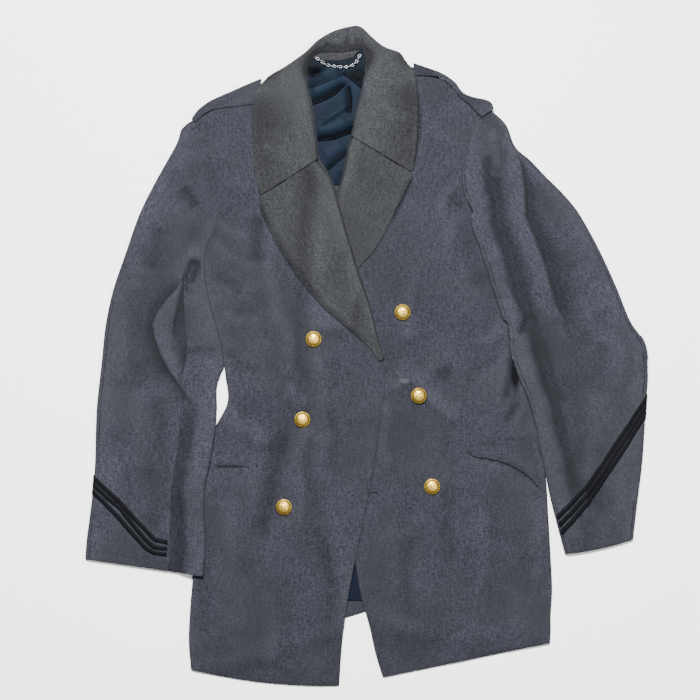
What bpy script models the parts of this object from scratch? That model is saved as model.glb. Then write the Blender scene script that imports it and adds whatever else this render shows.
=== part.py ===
"""A cadet dress coat laid flat on its back, in its own frame.

The coat lies on the plane Z = 0 with its collar towards +Y and the wearer's left
side at +X. The origin is the middle of its footprint. Sizes in the tables are
millimetres, and the meshes are metres.
"""

from math import cos, pi, sin

import bmesh
import bpy
import numpy as np
from mathutils.bvhtree import BVHTree

MM = 0.001

# Driving sizes, in millimetres.
CLOTH = 2.4
LINING = 1.2
STRAP_CLOTH = 2.0
POCKET_CLOTH = 1.8
BRAID_THICK = 1.0
BRAID_WIDTH = 5.3
SEAM_GAP = 0.3
LAYER_GAP = 0.4
BUTTON_DIAMETER = 23.0
BUTTON_HEIGHT = 7.0
CHAIN_DIAMETER = 2.4
FRONT_TOP = 2 * CLOTH + LAYER_GAP
LAYER = CLOTH + LAYER_GAP
FULLNESS = 1.4
SOFT_GAP = 0.5
SIDE_INSET = 2.1
BACK_INSET = 4.8
BACK_TOP_Y = 429.0
SHOULDER_TURN = 0.15
ROLL_INSET = 3.5
BAND_HEIGHT = 11.0
BAND_TOPS = (6.6, 6.4, 6.2)
SEAM_HALF_GAP = 1.9 * SEAM_GAP
SLEEVE_CROWN = 0.6
BUTTON_RIM_HEIGHT = 3.4
BUTTON_SIDES = 14
BAR_SIZE = (11.0, 4.6, 1.2)
BAR_MIDDLE = (9.5, -193.5)

# Rows for each interval of a table, and shares across the panels.
STEPS = 1
PANEL_SHARES = np.array((0, 0.03, 0.1, 0.19, 0.28, 0.37, 0.46, 0.55, 0.64, 0.73, 0.82, 0.91, 1.0))
LAPEL_SHARES = np.array((0.0, 0.08, 0.2, 0.36, 0.52, 0.68, 0.84, 1.0))

# Colours as Principled BSDF values: base colour, roughness, metallic.
FINISHES = {
    "wool": ((0.085, 0.092, 0.112, 1.0), 0.92, 0.0),
    "collar_wool": ((0.080, 0.083, 0.084, 1.0), 0.92, 0.0),
    "lining": ((0.026, 0.040, 0.062, 1.0), 0.45, 0.0),
    "braid": ((0.008, 0.009, 0.013, 1.0), 0.7, 0.0),
    "gilt": ((0.72, 0.47, 0.12, 1.0), 0.35, 1.0),
    "steel": ((0.55, 0.55, 0.56, 1.0), 0.35, 1.0),
}

# Right front, from the shoulder to the hem. Columns: side x, side y, edge x,
# edge y, bow of the row, share of the side that turns down, edge inset.
FRONT_RIGHT = (
    (-246, 331, -84, 411, 2, 0.0, 5),
    (-233, 305, -84, 380, 1, 0.0, 5),
    (-222, 275, -77, 345, 0, 0.0, 5),
    (-216, 246, -72, 305, 0, 0.0, 4),
    (-213, 217, -69, 276, 0, 0.0, 4),
    (-212, 197, -48, 246, 0, 0.0, 4),
    (-219, 176, -36, 206, 0, 0.0, 4),
    (-228, 155, -27, 172, 0, 0.0, 4),
    (-231, 130, -13, 124, 0, 0.6, 4),
    (-229, 100, -1, 86, 0, 1.0, 4),
    (-222, 70, 9, 54, 0, 1.0, 4),
    (-214, 42, 16, 26, 0, 1.0, 4),
    (-206, 8, 24, -2, 0, 1.0, 4),
    (-201, -28, 26, -26, 0, 1.0, 0),
    (-198, -66, 22, -64, 0, 1.0, 0),
    (-218, -107, 17, -108, 0, 1.0, 0),
    (-228, -150, 10, -150, 0, 1.0, 0),
    (-236, -203, 1, -203, 0, 1.0, 0),
    (-242, -260, -11, -260, 0, 1.0, 0),
    (-247, -312, -22, -314, 0, 1.0, 0),
    (-251, -358, -30, -360, 0, 1.0, 0),
    (-253, -404, -36, -410, -3, 1.0, 0),
    (-250, -444, -40, -467, -7, 1.0, 0),
)

# Left front, the under one, with the same columns.
FRONT_LEFT = (
    (160, 339, -2, 416, -19, 0.0, 6),
    (149, 313, -5, 385, -6, 0.0, 5),
    (141, 284, -13, 352, 0, 0.0, 5),
    (136, 246, -21, 314, 0, 0.0, 4),
    (146, 214, -30, 275, 0, 1.0, 4),
    (164, 186, -36, 249, 0, 1.0, 4),
    (180, 158, -42, 222, 0, 1.0, 4),
    (190, 122, -46, 180, 0, 1.0, 4),
    (197, 82, -49, 125, 0, 1.0, 4),
    (202, 45, -51, 70, 0, 1.0, 4),
    (206, 5, -52, 10, 0, 1.0, 0),
    (217, -30, -51, -40, 0, 1.0, 0),
    (230, -60, -49, -80, 0, 1.0, 0),
    (238, -88, -47, -108, 0, 1.0, 0),
    (246, -114, -43, -140, 0, 1.0, 0),
    (252, -144, -37, -176, 0, 1.0, 0),
    (256, -182, -31, -215, 0, 1.0, 0),
    (259, -232, -24, -255, 0, 1.0, 0),
    (262, -285, -15, -292, 0, 1.0, 0),
    (264, -330, -8, -334, 0, 1.0, 0),
    (262, -368, 5, -382, 0, 1.0, 0),
    (262, -388, 14, -422, 0, 1.0, 0),
    (261, -406, 24, -455, 0, 1.0, 0),
)

# Sleeves, from the armhole to the cuff. Columns: inner x, inner y, outer x,
# outer y, bow of the row, height the inner edge is lifted, thickness.
SLEEVE_RIGHT = (
    (-216, 186, -250, 334, -12, 0, 6.8),
    (-224, 167, -263, 321, -8, 0, 7.2),
    (-231, 150, -270, 300, -6, 0, 7.5),
    (-232, 122, -300, 246, -3, 0, 8),
    (-230.5, 96, -323, 199, -2, 0, 8),
    (-223, 68, -342, 145, 0, 0, 8),
    (-214, 36, -359, 95, 0, 0, 8),
    (-204, -10, -370, 45, 0, 0, 8),
    (-212, -44, -376, -11, 0, 0, 8),
    (-212, -74, -382, -65, 0, 3.5, 8),
    (-214, -105, -384, -105, 0, 9, 8),
    (-221, -148, -385, -148, 0, 9.5, 8),
    (-229, -190, -388, -189, 0, 9.5, 8),
    (-229, -233, -393, -230, 0, 9.5, 8),
    (-228, -272, -397, -260, 0, 9.5, 8),
    (-231, -311, -399, -287, 0, 9.5, 8),
)
SLEEVE_LEFT = (
    (161.5, 342, 178, 348, 0, 0, 7),
    (150.5, 314, 198, 328, 0, 1, 8),
    (142.5, 286, 211, 297, 0, 3, 8.5),
    (138, 250, 233, 277, 0, 6, 8.5),
    (143, 226, 254, 255, 0, 9.5, 8),
    (146, 203, 279, 230, 0, 9.8, 8),
    (150, 178, 301, 203, 0, 9.8, 8),
    (161, 150, 329, 153, 0, 9.8, 8),
    (177, 100, 354, 99, 0, 9.8, 8),
    (194, 48, 374, 50, 0, 9.8, 8),
    (205, 8, 395, 17, 0, 9.8, 8),
    (216, -26, 399, -25, 0, 9.8, 8),
    (227, -60, 397, -57, 0, 9.8, 8),
    (234, -91, 395, -91, 0, 9.8, 8),
    (249, -148, 391, -150, 0, 9.8, 8),
    (261, -205, 384, -207, 0, 8, 8),
    (281, -280, 378, -259, -3, 2, 8),
)

# Places round a sleeve, starting at its inner edge: 0 to 1 crosses the top from
# the inner to the outer edge and 1 to 2 comes back underneath. The two seams of
# each sleeve lie at these places, and ROUND_EDGE is in millimetres from an edge.
ROUND_EDGE = (-5.0, -1.2, 0.0, 1.2, 5.0)
SEAM_RIGHT = (0.30, 1.78)
SEAM_LEFT = (-0.15, 1.25)
TOP_PARTS = 10
UNDER_PARTS = 5
USUAL_WIDTH = 150.0
LEAST_SPREAD = 110.0

# Lapels, from the gorge to the break. Columns: roll x, roll y, outer x, outer y.
LAPEL_RIGHT = (
    (-70, 276, -150, 225),
    (-59, 264, -150, 213),
    (-48, 246, -144, 194),
    (-42, 226, -136, 179),
    (-34, 199, -122, 152),
    (-27, 172, -106, 127),
    (-19, 147, -91, 105),
    (-12, 122, -72, 82),
    (-5, 102, -53, 63),
    (2, 82, -34, 47),
    (10, 54, -13, 29),
    (17, 24, 5, 12),
    (25, -4, 18, -7),
)
LAPEL_LEFT = (
    (-22, 309, 62, 258),
    (-27, 295, 61, 248),
    (-30, 274, 53, 230),
    (-36, 249, 39, 202),
    (-42, 224, 22, 169),
    (-45, 190, 6, 145),
    (-47, 155, -13, 124),
    (-49, 115, -27, 92),
    (-50, 70, -39, 55),
)

# Collar, from the right gorge round the neck to the left one. Columns: stand x,
# stand y, edge x, edge y, stand height, crown height, edge height, and how far
# the fall has turned under, from 0 to 1.
COLLAR = (
    (-69, 280, -150, 229, 7, 16, 10.4, 0),
    (-71, 302, -157, 256, 7, 17, 10.2, 0),
    (-74, 327, -160, 290, 7, 18, 10.2, 0),
    (-77, 350, -161, 324, 7, 19, 10.6, 0),
    (-81, 369, -160, 352, 7, 20, 12.5, 0),
    (-84, 385, -155, 375, 7, 21, 14.0, 0),
    (-84, 400, -142, 396, 6.8, 21, 13.0, 0.25),
    (-81, 413, -114, 413, 6.6, 20, 11.0, 0.7),
    (-76, 424, -88, 430, 6.5, 18, 9.0, 1),
    (-67, 430, -70, 447, 6.5, 17, 8.0, 1),
    (-52, 431, -50, 459, 6.5, 16, 8.0, 1),
    (-35, 431, -28, 466, 6.5, 16, 8.0, 1),
    (-18, 434, -9, 467, 6.5, 16, 8.0, 1),
    (-9, 435, 8, 452, 6.5, 17, 8.0, 1),
    (-4, 430, 26, 438, 6.5, 18, 9.0, 1),
    (-2, 420, 50, 431, 6.6, 20, 11.0, 0.7),
    (-3, 406, 63, 416, 7, 21, 14.5, 0.25),
    (-5, 388, 68, 395, 7.5, 21, 14.5, 0),
    (-9, 368, 71, 368, 7.5, 20, 12.0, 0),
    (-15, 346, 72, 335, 7.5, 19, 10.4, 0),
    (-19, 326, 70, 300, 7.5, 17, 10.2, 0),
    (-22, 313, 64, 262, 7.5, 16, 10.4, 0),
)
FALL_UNDER = 26.0

# Shoulder straps, from the sleeve to the collar. Columns: outline x, outline y,
# lower x, lower y, height that the strap stands off the shoulder.
STRAP_RIGHT = (
    (-247, 336, -243, 331, 1.2),
    (-238, 348, -233, 341, 1.4),
    (-224, 359, -221, 348, 1.2),
    (-210, 366, -207, 352, 1.1),
    (-194, 373, -193, 353, 1.0),
    (-174, 382, -175, 356, 0.8),
    (-150, 392, -150, 358, 0.6),
)
STRAP_LEFT = (
    (179, 350, 163, 339, 5),
    (176, 358, 156, 345, 4),
    (167, 363, 149, 353, 3),
    (152, 366, 141, 360, 3),
    (138, 371, 133, 366, 5),
    (131, 378, 127, 374, 8),
    (125, 386, 121, 381, 9),
    (115, 394, 112, 389, 9),
    (103, 401, 101, 395, 7),
    (87, 407, 84, 397, 3),
    (67, 414, 65, 398, 2),
)

# Columns: upper x, upper y, lower x, lower y.
POCKET_FLAP = (
    (143, -129, 144, -134),
    (155, -127, 153, -141),
    (175, -125, 169, -144),
    (193, -122, 188, -148),
    (211, -117, 206, -155),
    (224, -114, 221, -164),
    (229, -113, 233, -173),
    (232, -114, 243, -184),
)
POCKET_WELT = (
    (-209, -136, -211, -156),
    (-200, -139, -201, -156),
    (-188, -143, -188, -156),
    (-177, -147, -177, -156),
    (-167, -152, -167, -156),
)

# Columns: left x, right x, y.
NECK_LINING = (
    (-68, -9, 431),
    (-77, -3, 422),
    (-82, -1, 411),
    (-84, -2, 398),
    (-83, -4, 384),
    (-79, -9, 367),
    (-75, -15, 348),
    (-72, -20, 325),
    (-69, -26, 302),
    (-67, -30, 283),
    (-58, -33, 268),
    (-51, -37, 254),
    (-46, -40, 243),
)
HEM_LINING = (
    (-36, 4, -278),
    (-38, 6, -302),
    (-42, 12, -326),
    (-46, 18, -347),
)

# The backs' shoulder lines from the sleeve to the neck, as x and y.
BACK_TOP_RIGHT = ((-241, 326), (-205, 348), (-160, 370), (-120, 388), (-90, 404), (-74, 424), (-41, 429))
BACK_TOP_LEFT = (
    (155, 337), (144, 351), (132, 364), (121, 378), (109, 390), (95, 401), (62, 411), (20, 420), (-41, 429),
)

# Back hem, as x and y, and the line of the centre back seam, as y and x.
BACK_HEM = ((-254, -440), (0, -362), (266, -404))
CENTRE_BACK = ((-470, 4), (-365, 0), (20, -14), (340, -36), (432, -41))

# The buttons' middles. Columns: name, x, y.
BUTTONS = (
    ("button_right_1", -75, 24),
    ("button_right_2", -91, -90),
    ("button_right_3", -117, -214),
    ("button_left_1", 51, 62),
    ("button_left_2", 74, -56),
    ("button_left_3", 93, -185),
)

# Braid, in the sleeve's own measure. Columns: share across the top from the
# inner edge, height above the cuff of the upper, middle and lower braid.
BRAID_RIGHT = (
    (1.00, 115, 106, 96),
    (0.88, 101, 92, 82),
    (0.75, 87, 79, 65),
    (0.60, 65, 54, 42),
    (0.50, 51, 38, 27),
    (0.43, 41, 30, 22),
    (0.32, 39, 30, 22),
)
BRAID_LEFT = (
    (1.00, 202, 190, 178),
    (0.85, 164, 152, 140),
    (0.72, 139, 127, 115),
    (0.60, 116, 104, 93),
    (0.43, 89, 78, 67),
    (0.20, 67, 56, 45),
    (0.02, 53, 42, 31),
)

# The hanger chain's route across the neck. Columns: x, y, z.
CHAIN_ROUTE = (
    (-69, 421, 8.2),
    (-57, 413, 7.6),
    (-41, 410, 6.6),
    (-25, 410, 6.6),
    (-15, 416, 7.8),
    (-10, 425, 8.3),
)

# The largest folds of each piece. Columns: height, width on the left of the
# line as it runs, width on its right, and the line's points.
FOLDS_FRONT_RIGHT = (
    (1.6, 14, 26, ((-195, -70), (-180, -98), (-160, -96), (-140, -128))),
    (-2.0, 16, 16, ((-112, -104), (-130, -150), (-141, -210), (-155, -262))),
    (1.4, 22, 22, ((-114, -41), (-80, -62))),
    (-1.8, 10, 12, ((-152, 200), (-154, 130))),
    (1.6, 26, 26, ((-190, -300), (-180, -440))),
    (1.2, 24, 24, ((-90, -330), (-80, -450))),
)
FOLDS_FRONT_LEFT = (
    (-1.5, 9, 12, ((100, -25), (119, -17))),
    (1.4, 14, 20, ((133, -87), (100, -60), (60, -20))),
    (1.8, 14, 22, ((125, -390), (147, -446))),
    (1.5, 22, 26, ((200, -250), (215, -400))),
    (-1.4, 14, 14, ((126, 235), (140, 160), (165, 90))),
    (-2.2, 9, 7, ((207, 4), (211, -26), (206, -64))),
)
FOLDS_SLEEVE_RIGHT = (
    (7.5, 26, 4, ((-265, 94), (-293, 65), (-302, 45), (-296, 18), (-285, -9), (-266, -41))),
    (-2.5, 9, 12, ((-260, 240), (-242, 210))),
    (2.0, 14, 18, ((-260, 296), (-276, 262))),
    (2.2, 22, 24, ((-339, 138), (-331, 110))),
    (2.0, 24, 26, ((-330, -40), (-325, -170))),
)
FOLDS_SLEEVE_LEFT = (
    (8.0, 4, 30, ((212, 290), (221, 240), (223, 195), (232, 175), (252, 121), (262, 82), (276, 50))),
    (2.4, 9, 9, ((182, 322), (182, 248))),
    (-2.0, 7, 7, ((172, 288), (173, 226))),
    (-1.8, 9, 12, ((212, 30), (237, 54))),
    (2.4, 30, 24, ((330, -40), (322, -190))),
    (2.0, 20, 24, ((300, 130), (335, 60))),
)
FOLDS_NECK = (
    (2.6, 5, 9, ((-71, 306), (-50, 312), (-24, 319))),
    (2.0, 6, 8, ((-79, 386), (-55, 392), (-32, 396))),
    (2.2, 8, 8, ((-68, 290), (-48, 330), (-30, 362))),
    (1.8, 8, 8, ((-60, 280), (-38, 292))),
)


def smooth(value):
    """An S curve from 0, where the value is 0 or less, to 1."""
    value = np.clip(value, 0.0, 1.0)
    return value * value * (3.0 - 2.0 * value)


def refine(rows, steps=STEPS):
    """Rows read on a smooth curve through a table, steps for each interval."""
    rows = np.asarray(rows, float)
    ends = np.vstack([2 * rows[0] - rows[1], rows, 2 * rows[-1] - rows[-2]])
    result = []
    for index in range(len(rows) - 1):
        a, b, c, d = ends[index:index + 4]
        for step in range(steps):
            t = step / steps
            curve = 2 * b + (c - a) * t + (2 * a - 5 * b + 4 * c - d) * t ** 2
            result.append(0.5 * (curve + (3 * b - a - 3 * c + d) * t ** 3))
    result.append(rows[-1])
    return np.array(result)


def read_line(value, line, key, result):
    """The result column of a table at a value of its key column."""
    order = sorted(line, key=lambda row: row[key])
    return np.interp(value, [row[key] for row in order], [row[result] for row in order])


def fold_height(x, y, folds):
    """Sum of the folds at a place: each is a soft ridge or trough along a line."""
    total = np.zeros_like(x)
    for height, left_width, right_width, points in folds:
        line = np.array(points, float)
        spans = np.diff(line, axis=0)
        lengths = np.hypot(spans[:, 0], spans[:, 1])
        starts = np.concatenate([[0.0], np.cumsum(lengths)[:-1]])
        nearest = np.full_like(x, 1e9)
        side = np.zeros_like(x)
        place = np.zeros_like(x)
        for start, span, length, run in zip(line, spans, lengths, starts):
            share = np.clip(((x - start[0]) * span[0] + (y - start[1]) * span[1]) / length ** 2, 0, 1)
            dx = x - start[0] - share * span[0]
            dy = y - start[1] - share * span[1]
            distance = np.hypot(dx, dy)
            closer = distance < nearest
            nearest = np.where(closer, distance, nearest)
            side = np.where(closer, span[0] * dy - span[1] * dx, side)
            place = np.where(closer, (run + share * length) / lengths.sum(), place)
        width = np.where(side > 0, left_width, right_width)
        fade = smooth(place / 0.2 + 0.25) * smooth((1 - place) / 0.2 + 0.25)
        total += height * fade * np.exp(-(nearest / width) ** 2)
    return total


def bump(x, y, middle, reach):
    """A soft round rise of 1 at its middle."""
    return np.exp(-((x - middle[0]) / reach[0]) ** 2 - ((y - middle[1]) / reach[1]) ** 2)


def past_back_hem(x, y):
    """1 where a front runs past the hem of the backs, where it lies lower."""
    return smooth((read_line(x, BACK_HEM, 0, 1) - 4 - y) / 30)


def softness(x, y, folds):
    """How far a front stands off the backs, from its fullness and folds."""
    side = np.sign(x.mean() + 20)
    rise = 1.8 * bump(x, y, (side * 115, 140), (60, 110)) + 1.2 * bump(x, y, (side * 135, -250), (70, 120))
    rise += 1.2 * bump(x, y, (-12, -312), (60, 80))
    return np.maximum(FULLNESS + rise + fold_height(x, y, folds), 0) - 2.4 * past_back_hem(x, y)


def left_front_top(x, y):
    """Height of the left front's outer face."""
    return FRONT_TOP + softness(x, y, FOLDS_FRONT_LEFT)


def right_front_top(x, y):
    """Height of the right front's outer face, over the left front where it laps it."""
    alone = FRONT_TOP + softness(x, y, FOLDS_FRONT_RIGHT)
    edge = read_line(y, FRONT_LEFT, 3, 2)
    lapped = smooth((x - edge + 48) / 34) * smooth((300 - y) / 40)
    lapel_edge = read_line(y, LAPEL_LEFT, 3, 2)
    over_lapel = smooth((lapel_edge + 26 - x) / 18) * smooth((y - 28) / 20) * lapped
    over = np.maximum(left_front_top(x, y) + LAYER, alone)
    return alone + (over - alone) * lapped + (LAYER + SOFT_GAP) * over_lapel


class Surface:
    """The outer face of a piece, as the ground that another piece lies on."""

    def __init__(self, grid):
        rows, columns = grid.shape[:2]
        faces = []
        for row in range(rows - 1):
            for column in range(columns - 1):
                first = row * columns + column
                faces.append((first, first + 1, first + columns + 1, first + columns))
        self.tree = BVHTree.FromPolygons([tuple(point) for point in grid.reshape(-1, 3)], faces)

    def __call__(self, x, y):
        heights = []
        for place in zip(x, y):
            hit = self.tree.ray_cast((*place, 100.0), (0, 0, -1))[0]
            if hit is None:
                hit = self.tree.find_nearest((*place, 5.0))[0]
            heights.append(hit[2])
        return np.array(heights)


def row_points(start, end, bow, shares):
    """Points on a row from its start to its end, bowed to the left of its run."""
    start = np.array(start, float)
    run = np.array(end, float) - start
    left = np.array((-run[1], run[0])) / np.hypot(*run)
    middle = start + np.outer(shares, run)
    return middle + np.outer(4 * bow * shares * (1 - shares), left)


def turn_down(line, outward, amount):
    """Three lines of points that turn a panel's boundary down to the floor.

    Where the edge hardly turns, the lines lie further apart, so that no strip is a sliver.
    """
    outward = outward / np.hypot(outward[:, 0], outward[:, 1])[:, None]
    lines = []
    for reach, height, flat_reach in ((0.7, 0.88, 0.0), (1.3, 0.55, 0.1), (1.5, 0.0, 0.6)):
        points = line.copy()
        points[:, :2] += outward * (reach + flat_reach * (1 - amount))[:, None]
        lowered = np.maximum(line[:, 2] * height, 0.3)
        points[:, 2] = line[:, 2] * (1 - amount) + lowered * amount
        lines.append(points)
    return lines


def front_grid(rows, shares, height, steps=STEPS):
    """Outer face of a front: across from the side to the edge, down to the hem."""
    grid = []
    turns = []
    for row in refine(rows, steps):
        start, end = np.array(row[0:2]), np.array(row[2:4])
        inward = (end - start) / np.hypot(*(end - start))
        start = start + inward * SIDE_INSET
        end = end - inward * row[6]
        xy = row_points(start, end, row[4], shares)
        grid.append(np.column_stack([xy, height(xy[:, 0], xy[:, 1])]))
        turns.append(np.clip(row[5], 0, 1))
    grid = np.array(grid)
    outward = grid[:, 0, :2] - grid[:, 1, :2]
    sides = turn_down(grid[:, 0], outward, np.array(turns))
    grid = np.concatenate([np.array(sides[::-1]).transpose(1, 0, 2), grid], axis=1)
    top = turn_down(grid[0], grid[0, :, :2] - grid[1, :, :2], np.full(grid.shape[1], SHOULDER_TURN))
    return np.concatenate([np.array(top[::-1]), grid], axis=0)


def along(line, shares):
    """Points at shares of the length of a line."""
    line = np.array(line, float)
    run = np.concatenate([[0], np.cumsum(np.hypot(*np.diff(line, axis=0).T))])
    return np.column_stack([np.interp(shares * run[-1], run, line[:, axis]) for axis in (0, 1)])


def back_grid(rows, shoulder, shares, steps=STEPS):
    """Outer face of one back, set inside the front that folds down over it."""
    rows = refine(rows, steps)
    bottom_y = read_line(0.0, BACK_HEM, 0, 1)
    grid = []
    for index, row in enumerate(rows):
        share = index / (len(rows) - 1)
        side = np.array(row[0:2])
        inward = np.array(row[2:4]) - side
        side = side + inward / np.hypot(*inward) * BACK_INSET
        side[1] = max(side[1], read_line(side[0], BACK_HEM, 0, 1) + 3 * (1 - share))
        middle_y = BACK_TOP_Y + (bottom_y - BACK_TOP_Y) * share
        middle_x = read_line(middle_y, CENTRE_BACK, 0, 1) + np.sign(side[0]) * 0.25
        xy = row_points(side, (middle_x, middle_y), 0, shares)
        if index == 0:
            xy = along([*shoulder[:-1], (middle_x, shoulder[-1][1])], shares)
        grid.append(np.column_stack([xy, np.full(len(shares), CLOTH)]))
    return np.array(grid)


def lapel_grid(rows, shares, below, pressed_y, steps=STEPS):
    """Outer face of a lapel, rolled down round the front's edge at its roll line."""
    grid = []
    for row in refine(rows, steps):
        roll, outer = np.array(row[0:2]), np.array(row[2:4])
        across = (outer - roll) / np.hypot(*(outer - roll))
        width = np.hypot(*(outer - roll))
        xy = row_points(roll + across * ROLL_INSET, outer, 0, shares)
        reach = shares * (width - ROLL_INSET)
        roll_rise = 2.4 * np.exp(-(reach / 16) ** 2) * smooth(width / 40)
        roll_rise *= smooth((roll[1] - pressed_y) / 30)
        z = below(xy[:, 0], xy[:, 1]) + LAYER + SOFT_GAP + roll_rise
        start = below(np.array([roll[0]]), np.array([roll[1]]))[0]
        curl = []
        for inset, height in ((0.0, -1.6), (-0.4, 0.6), (0.6, 2.2)):
            curl.append([*(roll + across * inset), start + height])
        grid.append(np.vstack([curl, np.column_stack([xy, z])]))
    return np.array(grid)


def collar_grid(rows=COLLAR, steps=STEPS):
    """Outer face of the collar: each section runs from the neck to the fall's edge."""
    grid = []
    for row in refine(rows, steps):
        stand, edge = np.array(row[0:2]), np.array(row[2:4])
        low, crown, rim, turned = row[4:8]
        width = np.hypot(*(edge - stand))
        drop = crown - rim
        lying = (
            (1.6, low), (0.0, 0.5 * (low + crown)), (0.05 * width, low + 0.92 * (crown - low)),
            (0.17 * width, crown), (0.42 * width, crown - 0.30 * drop),
            (0.70 * width, crown - 0.78 * drop), (0.88 * width, rim + 0.02 * drop), (width, rim),
        )
        under = (
            (0.0, low), (0.25 * width, low + 0.34 * (crown - low)),
            (0.52 * width, low + 0.74 * (crown - low)), (0.84 * width, crown),
            (width - 0.8, 0.80 * crown), (width, 0.36 * crown),
            (width - 2.5, 0.0), (width - FALL_UNDER * min(1.0, width / 36), 0.0),
        )
        turned = np.clip(turned, 0, 1)
        section = np.array(lying) * (1 - turned) + np.array(under) * turned
        section = refine(section, steps)
        xy = stand + np.outer(section[:, 0] / width, edge - stand)
        grid.append(np.column_stack([xy, np.maximum(section[:, 1], 0.0)]))
    return np.array(grid)


def strap_grid(rows, shares, below, steps=STEPS):
    """Outer face of a shoulder strap, turned down over the shoulder's edge."""
    grid = []
    for row in refine(rows, steps):
        outline, lower = np.array(row[0:2]), np.array(row[2:4])
        xy = row_points(outline, lower, 0, shares)
        ground = below(xy[:, 0], xy[:, 1])
        z = np.maximum(ground, ground.mean()) + LAYER_GAP + STRAP_CLOTH + row[4]
        z[-1] -= 0.3 * row[4]
        across = (outline - lower) / np.hypot(*(outline - lower))
        top = z[0]
        floor = 0.3 + 0.8 * row[4]
        curl = []
        for reach, height in ((1.6, floor), (1.4, floor + 0.55 * (top - floor)), (0.8, top - 0.6)):
            curl.append([*(outline + across * reach), height])
        grid.append(np.vstack([curl, np.column_stack([xy, z])]))
    return np.array(grid)


def pocket_grid(rows, shares, below, lift, steps=STEPS):
    """Outer face of a flap or welt that lies on a front."""
    grid = []
    for row in refine(rows, steps):
        xy = row_points(row[0:2], row[2:4], 0, shares)
        z = below(xy[:, 0], xy[:, 1]) + LAYER_GAP + POCKET_CLOTH + lift * shares ** 2
        grid.append(np.column_stack([xy, z]))
    return np.array(grid)


def lining_grid(rows, shares, folds, steps=STEPS):
    """Outer face of a lining strip that lies on the backs."""
    grid = []
    for left, right, y in refine(rows, steps):
        x = left + (right - left) * shares
        y_line = np.full_like(x, y)
        z = CLOTH + SEAM_GAP + LINING + np.maximum(fold_height(x, y_line, folds), 0)
        grid.append(np.column_stack([x, y_line, z]))
    return np.array(grid)


def band_grid(steps=STEPS):
    """Outer face of the band inside the neck, below the collar's seam."""
    grid = []
    for row in refine(COLLAR[8:14], steps):
        seam = np.array((row[0], row[1] - 0.8))
        toward = np.array((row[0] - row[2], row[1] - row[3]))
        lower = seam + toward / np.hypot(*toward) * BAND_HEIGHT
        lower[0] = np.clip(lower[0], -78, -8)
        xy = row_points(seam, lower, 0, np.array((0.0, 0.5, 1.0)))
        grid.append(np.column_stack([xy, BAND_TOPS]))
    return np.array(grid)


class Sleeve:
    """A flattened tube of cloth between an inner and an outer edge."""

    def __init__(self, rows, folds, steps=STEPS):
        self.rows = refine(rows, steps)
        self.folds = folds
        self.top_places = sleeve_places(0.0, 1.0)
        self.top_grid = self.grid(self.top_places)
        self.top_shares = [share + extra / USUAL_WIDTH for share, extra in self.top_places]

    def ring(self, row, places):
        """Points on one section. A place is a share round it and millimetres more.

        The millimetres are true at a seam, and shrink with a narrow section elsewhere.
        """
        inner, outer = np.array(row[0:2]), np.array(row[2:4])
        width = np.hypot(*(outer - inner))
        thick = row[6]
        shares, extras = np.array(places).T
        spread = np.where(np.abs(extras) < 1, width, max(width, LEAST_SPREAD))
        place = shares + extras / spread
        over = np.mod(place, 2) <= 1
        share = np.abs(np.mod(place + 1, 2) - 1)
        xy = row_points(inner, outer, row[4], share)
        from_edge = np.minimum(share, 1 - share) * width
        curve = np.sqrt(1 - (1 - np.clip(from_edge / (thick / 2), 0, 1)) ** 2)
        base = max(row[5], 0) * (1 - smooth((share * width - 16) / 26))
        creases = fold_height(xy[:, 0], xy[:, 1], self.folds) * smooth(from_edge / 14)
        crown = SLEEVE_CROWN * np.sin(pi * share) ** 2
        half = np.where(over, thick / 2 * curve, -thick / 2 * curve)
        z = base + thick / 2 + half + np.where(over, creases + crown, 0)
        return np.column_stack([xy, np.maximum(z, 0)])

    def grid(self, places):
        return np.array([self.ring(row, places) for row in self.rows])

    def point(self, share, height):
        """A point on the top, at a share across and a height above the cuff."""
        column = np.interp(share, self.top_shares, range(len(self.top_shares)))
        low = min(int(column), len(self.top_shares) - 2)
        line = self.top_grid[:, low] + (self.top_grid[:, low + 1] - self.top_grid[:, low]) * (column - low)
        line = line[::-1]
        run = np.concatenate([[0], np.cumsum(np.hypot(*np.diff(line[:, :2], axis=0).T))])
        return np.array([np.interp(height, run, line[:, axis]) for axis in range(3)])


def sleeve_places(start, end):
    """Places round a sleeve from one seam to the other, closer at its edges."""
    places = [(edge, extra) for edge in (0, 1, 2) for extra in ROUND_EDGE]
    for half_turn in (-1, 0, 1, 2):
        parts = TOP_PARTS if half_turn % 2 == 0 else UNDER_PARTS
        places += [(half_turn + part / parts, 0.0) for part in range(1, parts)]
    order = {place: place[0] + place[1] / USUAL_WIDTH for place in places}
    margin = 0.02
    inside = [place for place in places if start + margin < order[place] < end - margin]
    if (start, end) == (0.0, 1.0):
        inside = [place for place in places if 0 < order[place] < 1]
        return [(0, 0.0), *sorted(inside, key=order.get), (1, 0.0)]
    return [(start, SEAM_HALF_GAP), *sorted(inside, key=order.get), (end, -SEAM_HALF_GAP)]


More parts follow.
